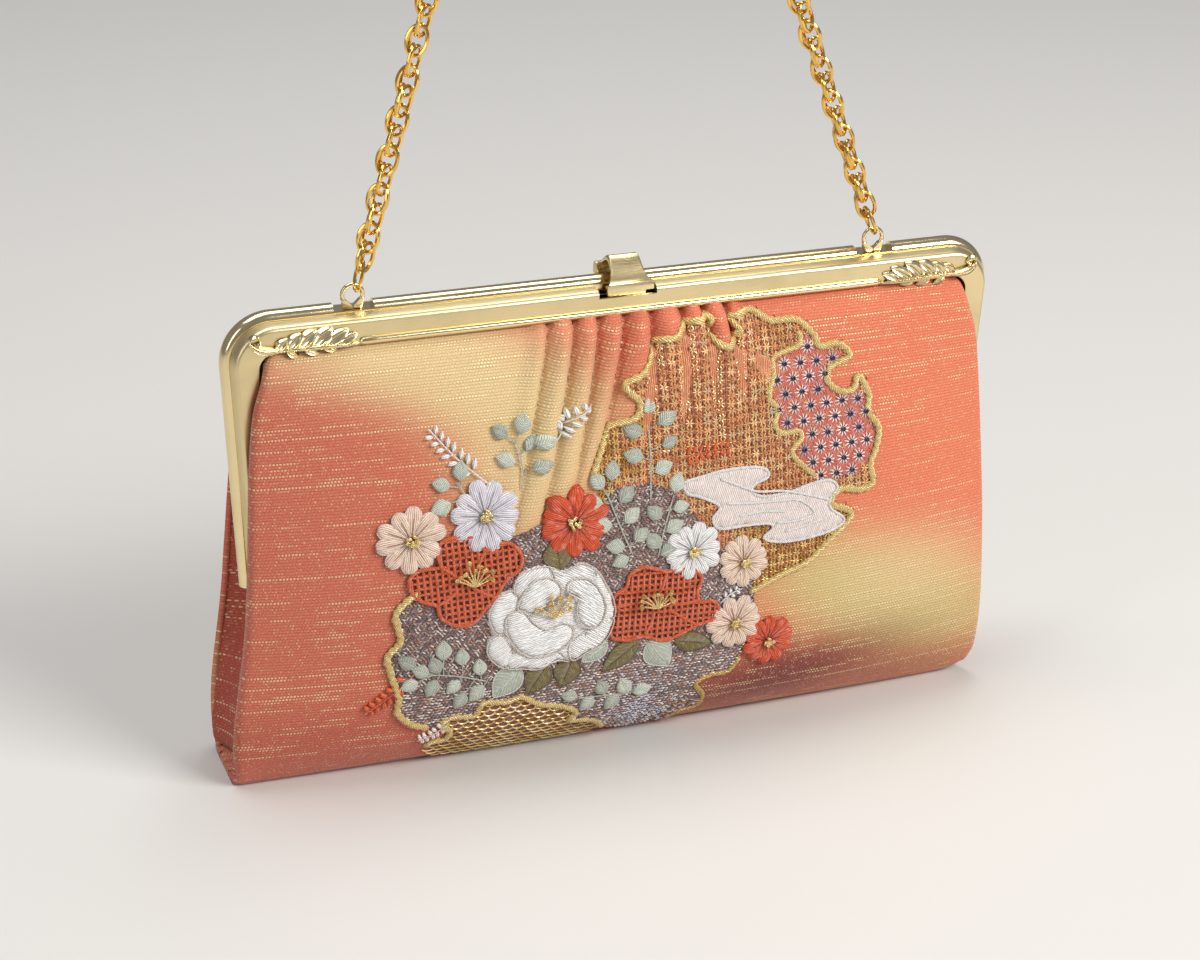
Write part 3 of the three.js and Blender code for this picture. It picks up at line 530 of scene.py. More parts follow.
# The frame: two pressed brass channels round the mouth, satin outside, that hold the cloth's edges.
# The back half carries a round polished rail, broken at each lug. A polished bead edges the front half.
SHOULDER_HALF, SHOULDER_TOP = 117.5, 142.6
HINGE_HALF, HINGE_HEIGHT = 113.8, 58.0
CORNER_RADIUS = 12.0
FACE_DEPTH, SHEET, CHANNEL = 7.0, 0.8, 2.8
SHOULDER_DROP, SHELF_RISE = 0.8, 0.8
RAIL_RISE, RAIL_DROP, RAIL_FRONT, RAIL_BACK, RAIL_FOOT = 2.8, 1.6, -2.2, 3.4, 2.4
LEG_TOP, LEG_END, FASCIA = 7.2, 3.8, 7.6
NOTCH_HALF, NOTCH_DEPTH = 9.0, 2.2
LUG_X, LUG_GAP = 81.3, 6.0
EAR_RADIUS, EAR_WALL, EAR_PITCH, EAR_INSET = 3.0, 1.0, 1.3, 0.3


def brass(name, colour, roughness, grain, brushed=(1.0, 1.0, 1.0)):
    """Cast or pressed brass: a fine grain in the satin and a little tarnish in the tone."""
    metal = Finish(name, Metallic=1.0)
    place = metal.place()
    fine = metal.noise(metal.stretched(place, brushed), 4200.0, 3.0)
    cloudy = metal.noise(place, 55.0, 3.0)
    specks = metal.noise(place, 900.0, 2.0)
    tarnish = cloudy.over(0.42, 0.72) * 0.3 + specks.over(0.62, 0.75) * 0.12
    darker = tuple(0.62 * c for c in dyed(*colour)[:3]) + (1,)
    metal.feed("Base Color", metal.mix(tarnish, dyed(*colour), darker))
    metal.feed("Roughness", roughness + (fine - 0.5) * 0.12 + cloudy.over(0.35, 0.75) * 0.07)
    metal.bump(fine, grain)
    return metal


def unit(ways):
    """The same directions with a length of 1."""
    return ways / (np.linalg.norm(ways, axis=-1, keepdims=True) + 1e-12)


def bowed(start, bend, end, steps):
    """Points on a curve from start to end that leans towards the bend."""
    t = np.linspace(0, 1, steps)[:, None]
    return (1 - t) ** 2 * start + 2 * t * (1 - t) * bend + t**2 * end


def rounded(corners, radius, steps=5):
    """A closed outline with its corners rounded, each by the radius or what its sides leave room for."""
    corners = np.array(corners, float)
    line = []
    for corner, *beside in zip(corners, np.roll(corners, 1, 0), np.roll(corners, -1, 0)):
        reach = min(radius, *(0.45 * np.linalg.norm(other - corner) for other in beside))
        start, end = (corner + unit(other - corner) * reach for other in beside)
        line.append(bowed(start, corner, end, steps))
    return np.concatenate(line)


def frame_stations():
    """Round the mouth from the left hinge to the right: a point, its outward direction, the band's width."""
    arc_x, arc_z = SHOULDER_HALF - CORNER_RADIUS, SHOULDER_TOP - CORNER_RADIUS
    lean = math.atan2(SHOULDER_HALF - HINGE_HALF, arc_z - HINGE_HEIGHT)
    right = []
    for t in np.linspace(0.03, 1, 12)[:-1]:
        x = HINGE_HALF + (SHOULDER_HALF - HINGE_HALF) * t
        z = HINGE_HEIGHT + (arc_z - HINGE_HEIGHT) * t
        right.append((x, z, math.cos(lean), -math.sin(lean), LEG_END + (LEG_TOP - LEG_END) * t))
    for t in np.linspace(0, 1, 25):
        c, s = math.cos(t * math.pi / 2), math.sin(t * math.pi / 2)
        width = LEG_TOP + (FASCIA - LEG_TOP) * t
        right.append((arc_x + CORNER_RADIUS * c, arc_z + CORNER_RADIUS * s, c, s, width))
    for x in (LUG_X + 20, LUG_X, LUG_X - 20, 40, NOTCH_HALF + 0.3, NOTCH_HALF, NOTCH_HALF - 0.01):
        right.append((x, SHOULDER_TOP, 0, 1, FASCIA))
    return [(-x, z, -nx, nz, w) for x, z, nx, nz, w in right] + right[::-1]


def swept(outline, highest=None, stations=None):
    """The grid of an outline of (y, out from the shoulder line) carried round the mouth."""
    rows = []
    for x, z, nx, nz, width in stations or frame_stations():
        line = outline(width)
        out = line[:, 1] if highest is None else np.minimum(line[:, 1], highest(x))
        rows.append(np.stack([x + nx * out, line[:, 0], z + nz * out], -1))
    return np.array(rows)


def channel_outline(side, rail):
    inner = FACE_DEPTH - SHEET - CHANNEL

    def outline(width):
        corners = [(FACE_DEPTH, -width), (FACE_DEPTH, -SHOULDER_DROP), (FACE_DEPTH - SHOULDER_DROP, 0)]
        if rail:
            corners += [(inner, SHELF_RISE), (inner - SHEET, SHELF_RISE)]
        else:
            corners += [(inner - SHEET, SHELF_RISE)]
        corners += [(inner - SHEET, SHEET - width), (inner, SHEET - width), (inner, SHELF_RISE - 2 * SHEET)]
        corners += [(FACE_DEPTH - SHEET, -SHOULDER_DROP - SHEET), (FACE_DEPTH - SHEET, -width)]
        line = rounded(corners, 0.8)
        return np.stack([side * line[:, 0], line[:, 1]], -1)

    return outline


def disc(form, centre, axis, radius, length, edge=0.2, sides=32):
    """A round plate or pin with a rounded rim."""
    spin = np.linspace(0, 2 * math.pi, sides, endpoint=False)[:, None]
    centre, axis = np.array(centre, float), np.array(axis, float)
    circle = np.cos(spin) * np.roll(axis, 1) + np.sin(spin) * np.roll(axis, 2)
    half = length / 2
    rim = [(half, radius - edge), (half - edge * 0.3, radius - edge * 0.3), (half - edge, radius)]
    rim = [(-along, r) for along, r in rim] + rim[::-1]
    form.surface([centre + axis * along + circle * r for along, r in rim], ring=True, ends=True)


satin = brass("satin_gold", (228, 208, 160), 0.33, 0.000012)
polished = brass("polished_gold", (240, 220, 172), 0.15, 0.000002)


def hinge_ear(form, side, layer, towards):
    """A plate round the rivet with an arm up into the channel."""
    x = side * (HINGE_HALF - EAR_INSET - EAR_WALL / 2 - layer * EAR_PITCH)
    disc(form, (x, 0, HINGE_HEIGHT), (1, 0, 0), EAR_RADIUS, EAR_WALL)
    arm = [(0, 1.2), (towards * 6.7, 1.0), (towards * 6.7, 4.6), (towards * 3.5, 4.2), (0, EAR_RADIUS)]
    arm = rounded(arm, 0.6, 4)
    faces = [[(x + way * EAR_WALL / 2, y, HINGE_HEIGHT + z) for y, z in arm] for way in (-1, 1)]
    form.surface(faces, ring=True, ends=True)


OPEN = 9  # above everything on the frame
front, back = Form(), Form()
notched = swept(channel_outline(-1, False), lambda x: -NOTCH_DEPTH if abs(x) < NOTCH_HALF else OPEN)
front.surface(notched, ring=True, ends=True)
back.surface(swept(channel_outline(1, True)), ring=True, ends=True)
for side in (-1, 1):
    hinge_ear(front, side, 0, -1)
    hinge_ear(back, side, 1, 1)
front_frame = front.make("front_frame_satin", satin)
back_frame = back.make("back_frame_satin", satin)


def rail_outline(_):
    """The rail is as wide all the way round."""
    middle, half = (RAIL_FRONT + RAIL_BACK) / 2, (RAIL_BACK - RAIL_FRONT) / 2
    foot = SHELF_RISE - 0.4
    spin = np.linspace(0, math.pi, 17)
    arc = [(middle + half * math.cos(a), foot + (RAIL_RISE - foot) * math.sin(a)) for a in spin]
    return np.array(arc + [(RAIL_FRONT, -RAIL_DROP), (RAIL_FOOT, -RAIL_DROP)])


rail = Form()
stations = frame_stations()
middle_x, outer_x = LUG_X - LUG_GAP, LUG_X + LUG_GAP
run = [(x, SHOULDER_TOP, 0, 1, FASCIA) for x in np.linspace(-middle_x, middle_x, 12)]
rail.surface(swept(rail_outline, stations=run), ring=True, ends=True)
for side in (-1, 1):
    run = [s for s in stations if side * s[0] > outer_x + 1]
    run = run[::-side] + [(side * outer_x, SHOULDER_TOP, 0, 1, FASCIA)]
    rail.surface(swept(rail_outline, stations=run), ring=True, ends=True)
    gap = [(side * x, SHOULDER_TOP, 0, 1, FASCIA) for x in (middle_x - 1, outer_x + 1)]
    low_rail = swept(lambda width: np.minimum(rail_outline(width), [OPEN, SHELF_RISE]), stations=gap)
    rail.surface(low_rail, ring=True, ends=True)
frame_rail = rail.make("frame_rail", polished)


def bead_line(form, points, radius, sides=14):
    """A round wire along points, its ends rounded off."""
    points = np.array(points, float)
    ahead = unit(np.gradient(points, axis=0))
    up = np.cross(ahead, [0, 1, 0])
    up = unit(np.where(np.linalg.norm(up, axis=1)[:, None] < 0.2, np.cross(ahead, [0, 0, 1]), up))
    other = np.cross(ahead, up)
    spin = np.linspace(0, 2 * math.pi, sides, endpoint=False)
    radius = np.broadcast_to(radius, len(points))[:, None, None]
    rings = up[:, None] * np.cos(spin)[None, :, None] + other[:, None] * np.sin(spin)[None, :, None]
    form.surface(points[:, None] + radius * rings, ring=True, ends=True)


bead = Form()
BEAD_RADIUS, BEAD_HALF, BEAD_Z = 1.1, 81.2, 136.1
tip_x, tip_r = np.array([BEAD_HALF, BEAD_HALF - 0.4]), np.array([0.4, 0.85])
run_x = np.linspace(-BEAD_HALF + BEAD_RADIUS, BEAD_HALF - BEAD_RADIUS, 40)
bead_x = np.concatenate([-tip_x, run_x, tip_x[::-1]])
bead_r = np.concatenate([tip_r, np.full(40, BEAD_RADIUS), tip_r[::-1]])
bead_line(bead, [(x, -FACE_DEPTH - 0.1, BEAD_Z) for x in bead_x], bead_r)
frame_bead = bead.make("frame_bead", polished)
for piece, slot, node_name in (
    (front_frame, "satin_gold", "front_frame"),
    (back_frame, "satin_gold", "back_frame"),
    (frame_rail, "polished_gold", "back_frame"),
    (frame_bead, "polished_gold", "front_frame"),
):
    on_bag(piece, slot)
    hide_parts(node_name)

# The flip clasp on the back half, its pin bracket, the catch plate in the notch and the hinge rivets
# keep the shapes that they were cut to, with their edges broken by polishing.
brushed = brass("brushed_gold", (232, 212, 162), 0.24, 0.00003, (0.04, 1.0, 1.0))
for node_name, finish in (
    ("clasp_tab", brushed), ("clasp_bracket", satin), ("clasp_catch", polished),
    ("hinge_rivet_left", polished), ("hinge_rivet_right", polished),
):
    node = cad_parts[node_name]
    node.data.materials.clear()
    node.data.materials.append(finish.material)
    node.data.polygons.foreach_set("use_smooth", [True] * len(node.data.polygons))
    weld = node.modifiers.new("joined", "WELD")
    weld.merge_threshold = 0.00001
    edges = node.modifiers.new("broken_edges", "BEVEL")
    edges.width, edges.segments, edges.limit_method = 0.00022, 3, "ANGLE"
    edges.angle_limit = math.radians(28)
    edges.harden_normals = True

# The cast corner leaves: a scrolled acanthus spray soldered on each end of the front half,
# with a raised rib and side blades, polished on the high places.
LEAF_INNER, LEAF_FOOT, BLADE_RISE = 81.5, 135.0, 1.7
LEAF_BLADES = (  # from (along, up) by (along, up) to (along, up), widest half width, share of the rise
    ((0, 0.6), (12, 1.4), (25, 1.2), 1.1, 1.1),
    ((6.5, 1.2), (3.6, 2.2), (0.4, 3.6), 1.7, 0.8),
    ((10, 1.2), (7.2, 3.2), (3.0, 5.2), 2.1, 1.0),
    ((13.6, 1.2), (11.6, 4.0), (7.6, 6.2), 2.4, 1.2),
    ((17.6, 1.2), (16.0, 4.0), (12.2, 6.0), 2.3, 1.2),
    ((21, 1.2), (19.8, 3.6), (16.4, 5.2), 2.0, 1.1),
    ((24, 1.2), (23.2, 3.0), (20.2, 4.2), 1.6, 0.9),
    ((11, 0.8), (9, -0.2), (6.4, -0.5), 1.0, 0.8),
    ((16, 0.7), (14.2, -0.5), (11.6, -1.0), 1.2, 0.8),
    ((21, 0.7), (19.6, -0.7), (17.4, -1.4), 1.2, 0.8),
    ((22, 1.4), (29.5, 0.2), (31.8, 4.4), 1.3, 1.1),
    ((31.8, 4.4), (30.6, 6.8), (28.5, 4.7), 1.0, 1.0),
    ((28.5, 4.7), (29.2, 3.1), (30.4, 3.9), 0.7, 0.9),
)
leaf_finish = brass("cast_gold", (250, 236, 200), 0.2, 0.00001)
leaf_tone = Wire(leaf_finish, leaf_finish.shader.inputs["Base Color"].links[0].from_socket)
polish = leaf_finish.mark("raised", "Fac").over(0.1, 0.6)
leaf_finish.feed("Base Color", leaf_finish.mix(polish, dyed(176, 150, 96), leaf_tone))


def blade(form, side, start, bend, end, half, height):
    """One blade of the leaf: a tapered lens along a curve, with a crease down its middle."""
    steps = 17
    line = bowed(*(np.array(p, float) for p in (start, bend, end)), steps)
    ahead = unit(np.gradient(line, axis=0))
    beside = np.stack([-ahead[:, 1], ahead[:, 0]], -1)
    width = half * np.sin(math.pi * np.clip(np.linspace(0, 1, steps) * 0.94 + 0.05, 0, 1)) ** 0.6
    across = np.linspace(-1, 1, 9)
    lift = np.array([0, 0.75, 1, 0.85, 0.4, 0.85, 1, 0.75, 0])
    rows = []
    for i in range(steps):
        flat = line[i] + beside[i] * (across * width[i])[:, None]
        top = FACE_DEPTH + 0.25 + BLADE_RISE * height * lift * (width[i] / half)
        upper = [(side * (LEAF_INNER + a), -y, LEAF_FOOT + b) for (a, b), y in zip(flat, top)]
        lower = [(side * (LEAF_INNER + a), -FACE_DEPTH + 0.1, LEAF_FOOT + b) for a, b in flat[-2:0:-1]]
        rows.append(upper + lower)
    raised = np.tile(np.append(lift, np.zeros(len(lift) - 2)), steps)[:, None]
    form.surface(rows, ring=True, ends=True, raised=raised)


for side, word in ((-1, "left"), (1, "right")):
    form = Form()
    for start, bend, end, half, height in LEAF_BLADES:
        blade(form, side, start, bend, end, half, height)
    leaf = form.make("cast_leaf_" + word, leaf_finish)
    on_bag(leaf, "polished_gold")
    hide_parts("corner_leaf_" + word)

# The lugs: a ring of brass wire on two flared tabs, soldered in each break of the rail.
LUG_FOOT, RING_RADIUS, RING_HEIGHT, LUG_WIRE = 143.7, 3.0, 3.9, 1.3
for side, word in ((-1, "left"), (1, "right")):
    form = Form()
    spin = np.linspace(-0.32 * math.pi, 1.32 * math.pi, 41)
    ring = np.stack([np.cos(spin), 0 * spin, np.sin(spin)], -1) * RING_RADIUS
    bead_line(form, ring + (side * LUG_X, 0, LUG_FOOT + RING_HEIGHT), LUG_WIRE / 2)
    for way in (-1, 1):
        tab = rounded([(0.2, -0.2), (2.7, -0.2), (3.45, 2.9), (2.2, 2.75), (0.9, 1.3), (0.2, 1.0)], 0.5, 4)
        faces = [[(side * LUG_X + way * x * full, y, LUG_FOOT + z * full + 1 - full) for x, z in tab]
                 for y, full in ((-0.85, 0.9), (-0.7, 1), (0.7, 1), (0.85, 0.9))]
        form.surface(faces, ring=True, ends=True)
    lug = form.make("ring_lug_" + word, polished)
    on_bag(lug, "polished_gold")
    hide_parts("chain_lug_" + word)

# The chain: oval links of deep gold wire in pairs, each pair turned a quarter against the last,
# single where it passes through a lug. It hangs from the hand, so its two strands meet in a small bend.
LINK_LENGTH, LINK_WIDTH, LINK_WIRE = 10.0, 6.8, 1.2
LINK_PITCH, LINK_FAN = 5.8, math.radians(18)
LINK_PLAY, LINK_APART = 7, 0.7  # degrees that a link may lie askew, half the distance within a pair
SAME_SIZE = (1, 1, 1)
LINK_TURN = math.radians(38)  # both pairs are seen aslant from the front
END_LINK_LIFT = 2.85
HOLD_POINT, HOLD_RADIUS = (-16.0, 402.0), 7.0
STRAND_FEET = ((-79.95, 150.28), (81.0, 150.59))


def laying_tree():
    """Sets a template on every point, turned and sized as the point says."""
    tree = bpy.data.node_groups.new("laid_on_points", "GeometryNodeTree")
    for name, kind in (("Points", "Geometry"), ("Template", "Object"), ("Finish", "Material")):
        tree.interface.new_socket(name, in_out="INPUT", socket_type="NodeSocket" + kind)
    tree.interface.new_socket("Pieces", in_out="OUTPUT", socket_type="NodeSocketGeometry")
    given, result, template, laid, rotation, real, finished, turn, size = (tree.nodes.new(kind) for kind in (
        "NodeGroupInput", "NodeGroupOutput", "GeometryNodeObjectInfo", "GeometryNodeInstanceOnPoints",
        "FunctionNodeEulerToRotation", "GeometryNodeRealizeInstances", "GeometryNodeSetMaterial",
        "GeometryNodeInputNamedAttribute", "GeometryNodeInputNamedAttribute"))
    for node, name in ((turn, "turn"), (size, "size")):
        node.data_type = "FLOAT_VECTOR"
        node.inputs["Name"].default_value = name
    for source, out, target, into in (
        (given, "Points", laid, "Points"), (given, "Template", template, "Object"),
        (template, "Geometry", laid, "Instance"), (turn, "Attribute", rotation, 0),
        (rotation, 0, laid, "Rotation"), (size, "Attribute", laid, "Scale"),
        (laid, "Instances", real, 0), (real, 0, finished, "Geometry"),
        (given, "Finish", finished, "Material"), (finished, 0, result, 0),
    ):
        tree.links.new(source.outputs[out], target.inputs[into])
    return tree


laid_on_points = laying_tree()


def lay(name, template, places, finish, slot="embroidery"):
    """One piece of a template set at every place: point in mm, three axes, size along each, tint."""
    points, axes, sizes, tints = zip(*places)
    mesh = bpy.data.meshes.new(name)
    mesh.from_pydata([tuple(at(*p)) for p in points], [], [])
    keep_mark(mesh, "turn", [tuple(Matrix(a).transposed().to_euler()) for a in axes])
    keep_mark(mesh, "size", sizes)
    keep_mark(mesh, "tint", tints)
    piece = placed(name, mesh)
    laid = piece.modifiers.new("laid", "NODES")
    laid.node_group = laid_on_points
    sockets = {s.name: s.identifier for s in laid_on_points.interface.items_tree if s.in_out == "INPUT"}
    laid[sockets["Template"]], laid[sockets["Finish"]] = template, finish.material
    plain = bpy.data.meshes.new_from_object(piece.evaluated_get(bpy.context.evaluated_depsgraph_get()))
    piece.modifiers.clear()
    piece.data = plain
    plain.polygons.foreach_set("use_smooth", [True] * len(plain.polygons))
    if not plain.materials:
        plain.materials.append(finish.material)
    on_bag(piece, slot)
    return piece


def template_of(form, name, finish):
    """A form made round the origin in millimetres, kept out of the scene to be set on points."""
    made = form.make(name, finish)
    made.data.transform(Matrix.Translation(-base_middle))
    bpy.context.collection.objects.unlink(made)
    return made


def oval_link():
    form = Form()
    half_width, half_length = (LINK_WIDTH - LINK_WIRE) / 2, (LINK_LENGTH - LINK_WIRE) / 2
    round_wire = np.linspace(0, 2 * math.pi, 8, endpoint=False)[:, None]
    rows = []
    for a in np.linspace(0, 2 * math.pi, 24, endpoint=False):
        middle = np.array([half_width * math.cos(a), 0, half_length * math.sin(a)])
        out = unit(np.array([half_length * math.cos(a), 0, half_width * math.sin(a)]))
        aside = np.array([0, 1, 0])
        rows.append(middle + LINK_WIRE / 2 * (np.cos(round_wire) * out + np.sin(round_wire) * aside))
    form.surface(rows, ring=True, loop=True)
    return form


chain_gold = brass("chain_gold", (240, 194, 104), 0.17, 0.000003)
link_template = template_of(oval_link(), "link_template", chain_gold)
left_foot, right_foot, hold = (np.array(p) for p in (*STRAND_FEET, HOLD_POINT))
left_up, right_up = unit(hold - left_foot), unit(hold - right_foot)
half_angle = math.acos(np.dot(left_up, right_up)) / 2
bisector = unit(left_up + right_up)
bend_centre = hold - bisector * HOLD_RADIUS / math.sin(half_angle)
bend_across = np.array([bisector[1], -bisector[0]])
bend = [bend_centre + HOLD_RADIUS * (bisector * math.cos(a) + bend_across * math.sin(a))
        for a in np.linspace(-(math.pi / 2 + half_angle), math.pi / 2 + half_angle, 33)]
route = np.array([left_foot, *bend, right_foot])
route_length = np.concatenate([[0], np.cumsum(np.linalg.norm(np.diff(route, axis=0), axis=1))])
hung = route_length[-1] - 2 * END_LINK_LIFT
pairs = round(hung / LINK_PITCH)
chain_random = random.Random(5)
places = []
for i in range(pairs + 1):
    run = END_LINK_LIFT + hung * i / pairs
    x, z, x2, z2 = (np.interp(r, route_length, route[:, k]) for r in (run, run + 0.5) for k in (0, 1))
    along = Vector((x2 - x, 0, z2 - z)).normalized()
    single = i in (0, pairs)
    twist = 0 if single else LINK_TURN + 0.3 * math.sin(run / 45)
    facing = Matrix.Rotation(math.pi / 2 * (i % 2 == 0) + twist, 3, along)
    for way in (0,) if single else (-1, 1):
        loose = 0 if single else math.radians(chain_random.uniform(-LINK_PLAY, LINK_PLAY))
        front_axis = Matrix.Rotation(way * LINK_FAN + loose, 3, along) @ facing @ Vector((0, 1, 0))
        point = Vector((x, 0, z)) + front_axis * way * LINK_APART
        places.append((tuple(point), (front_axis.cross(along), front_axis, along), SAME_SIZE, (1, 1, 1, 1)))
chain = lay("chain_links", link_template, places, chain_gold, "chain_gold")
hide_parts("chain", "end_link_left", "end_link_right")

# The embroidery, first its drawing: every motif is drawn in millimetres on the front panel and is
# worked on the cloth itself, so it follows the belly and the gathers.
front_points = front_grid.reshape(-1, 3)
front_index = np.arange(len(front_points)).reshape(front_grid.shape[:2])
above, below = front_index[1:], front_index[:-1]
front_quads = np.stack([below[:, :-1], below[:, 1:], above[:, 1:], above[:, :-1]], -1)
front_tree = BVHTree.FromPolygons(front_points.tolist(), front_quads.reshape(-1, 4).tolist())
SILK_WALL = 0.3  # how far a stitched shape's edge sinks into the cloth
LOWEST, FAR_FRONT, NEAR_FRONT = 0.5, -60, -12
FINE_STEP = 0.1


def on_cloth(x, z):
    """The cloth's outer face and outward direction in front of (x, z)."""
    z = max(z, LOWEST)
    hit, normal, _, _ = front_tree.ray_cast(Vector((x, FAR_FRONT, z)), Vector((0, 1, 0)))
    if hit is None:
        hit, normal, _, _ = front_tree.find_nearest(Vector((x, NEAR_FRONT, z)))
    return hit, normal if normal.y < 0 else -normal


def drape(x, z, lift):
    """The same for whole arrays: points lifted off the cloth."""
    x, z, lift = np.broadcast_arrays(x, z, lift)
    made = np.empty(x.shape + (3,))
    for spot in np.ndindex(x.shape):
        hit, normal = on_cloth(x[spot], z[spot])
        made[spot] = hit + normal * lift[spot]
    return made


def smooth_line(chart, step, closed=False):
    """Evenly spaced points on a smooth line through a chart of (x, z)."""
    chart = np.array(chart, float)
    if closed:
        chart = np.concatenate([chart[-2:], chart, chart[:2]])
    spots, _ = even_rows(chart, [0, 1], FINE_STEP)
    if closed:
        spots = spots[(spots >= 2) & (spots < len(chart) - 2)]
    line = smooth_through(chart, spots)
    return line[:: max(1, min(round(step / FINE_STEP), len(line) // 4))]


def inside(outline, x, z):
    """Which points lie inside a closed outline."""
    odd = np.zeros(np.shape(x), bool)
    for (x1, z1), (x2, z2) in zip(outline, np.roll(outline, -1, 0)):
        crosses = (z1 > z) != (z2 > z)
        odd ^= crosses & (x < (x2 - x1) * (z - z1) / (z2 - z1 + 1e-12) + x1)
    return odd


def thread_finish(name, pitch, metallic, roughness, sheen, shadow):
    """Laid threads: fine strands across the mark kept on the mesh, each a little lighter or darker."""
    thread = Finish(name, Metallic=metallic, Sheen_Weight=sheen, Sheen_Roughness=0.35)
    across, along, _ = thread.parts(thread.mark("thread"))
    wander = thread.noise(thread.joined(across * 0.8, along * 0.35, 0.0), 1.0, 2.0)
    lines = (across + wander * 0.3) / pitch
    strand, number = lines.bulge(), lines.sum("FLOOR", lines)
    tone = thread.noise(thread.joined(number * 0.71, along * 0.4, 3.0), 1.0, 2.0)
    tint = thread.mark("tint", "Color")
    shade = thread.mix((1 - strand) * shadow, tint, thread.stretched(tint, (0.42, 0.36, 0.34)))
    shade = thread.mix(tone.over(0.5, 0.72) * 0.5, shade, thread.mix(0.3, tint, dyed(255, 250, 240)))
    worn = thread.stretched(tint, (0.6, 0.52, 0.5))
    thread.feed("Base Color", thread.mix((1 - tone.over(0.3, 0.55)) * 0.35, shade, worn))
    thread.feed("Roughness", roughness + (tone - 0.5) * 0.25)
    thread.bump(strand * 0.8 + tone * 0.5, 0.00025)
    return thread


silk = thread_finish("silk_thread", 0.6, 0.0, 0.46, 0.3, 0.7)
gold_thread = thread_finish("gold_thread", 0.8, 0.3, 0.32, 0.0, 0.5)
GOLD, OLD_GOLD, BRIGHT_GOLD = dyes((232, 204, 134), (206, 172, 96), (250, 232, 172))


def stitched_patch(form, outline, lift, dome, tint, angle=0.0, step=1.5, rim=1.5):
    """A shape filled with laid threads: domed inside its rim, its edge sunk into the cloth."""
    outline = np.array(outline, float)
    low, high = outline.min(0), outline.max(0)
    x, z = (a.ravel() for a in np.meshgrid(*(np.arange(*ends, step) for ends in zip(low, high))))
    x = x + (np.round((z - low[1]) / step) % 2) * step / 2

    def edge_distance(x, z):
        best = np.full(x.shape, 1e9)
        for start, end in zip(outline, np.roll(outline, -1, 0)):
            way = end - start
            t = np.clip(((x - start[0]) * way[0] + (z - start[1]) * way[1]) / (way @ way + 1e-12), 0, 1)
            best = np.minimum(best, np.hypot(x - start[0] - t * way[0], z - start[1] - t * way[1]))
        return best

    keep = inside(outline, x, z) & (edge_distance(x, z) > 0.45 * step)
    flat = [Vector(p) for p in outline.tolist() + list(zip(x[keep], z[keep]))]
    ring = [(i, (i + 1) % len(outline)) for i in range(len(outline))]
    spots, _, faces, origins, _, _ = delaunay_2d_cdt(flat, ring, [], 1, 1e-6)
    spots = np.array([tuple(p) for p in spots])
    distance = np.clip(edge_distance(spots[:, 0], spots[:, 1]) / rim, 0, 1)
    top = drape(spots[:, 0], spots[:, 1], lift + dome * np.sqrt(distance * (2 - distance)))
    new_number = {old: new for new, olds in enumerate(origins) for old in olds}
    border = [new_number[i] for i in range(len(outline))]
    under = drape(spots[border, 0], spots[border, 1], -SILK_WALL)
    _, _, under_faces, under_origins, _, _ = delaunay_2d_cdt(flat[: len(outline)], ring, [], 1, 1e-6)
    start, count = form.count, len(top)
    form.faces += [[start + i for i in face] for face in faces]
    under_old = [olds[0] for olds in under_origins]
    form.faces += [[start + count + under_old[i] for i in face[::-1]] for face in under_faces]
    for i in range(len(border)):
        j = (i + 1) % len(border)
        form.faces.append([start + border[i], start + count + i, start + count + j, start + border[j]])
    spots = np.concatenate([spots, spots[border]])
    c, s = math.cos(math.radians(angle)), math.sin(math.radians(angle))
    x, z = spots.T
    thread = np.stack([z * c - x * s, x * c + z * s, 0 * x], -1)
    form.add_points(np.concatenate([top, under]), {"thread": thread, "tint": tint})


def couched_cord(form, chart, radius, tint, closed=False, lift=None, sides=10, step=0.5):
    """A cord laid along a chart and sewn down: threads wound aslant round a core."""
    line = smooth_line(chart, step, closed)
    spots = [on_cloth(x, z) for x, z in line]
    point, normal = (np.array([tuple(spot[k]) for spot in spots]) for k in (0, 1))
    point = point + normal * (0.5 * radius if lift is None else lift)
    ahead = unit(np.roll(point, -1, 0) - np.roll(point, 1, 0) if closed else np.gradient(point, axis=0))
    beside = unit(np.cross(ahead, normal))
    spin = np.linspace(0, 2 * math.pi, sides, endpoint=False)[None, :, None]
    run = (np.arange(len(line)) * step)[:, None, None]
    wound = radius * (1 + 0.15 * np.sin(math.pi * run / radius - 2 * spin) + 0.06 * np.sin(run * 1.7))
    taper = 1.0 if closed else np.sqrt(np.clip(np.minimum(run, run[-1] - run) / radius, 0.05, 1))
    circle = beside[:, None] * np.cos(spin) + 0.8 * normal[:, None] * np.sin(spin)
    grid = point[:, None] + taper * wound * circle
    aslant = run + spin * radius * 0.8
    thread = np.concatenate([aslant, spin * radius + 0 * run, 0 * run + 0 * spin], -1)
    form.surface(grid, ring=True, loop=closed, ends=not closed, thread=thread, tint=tint)


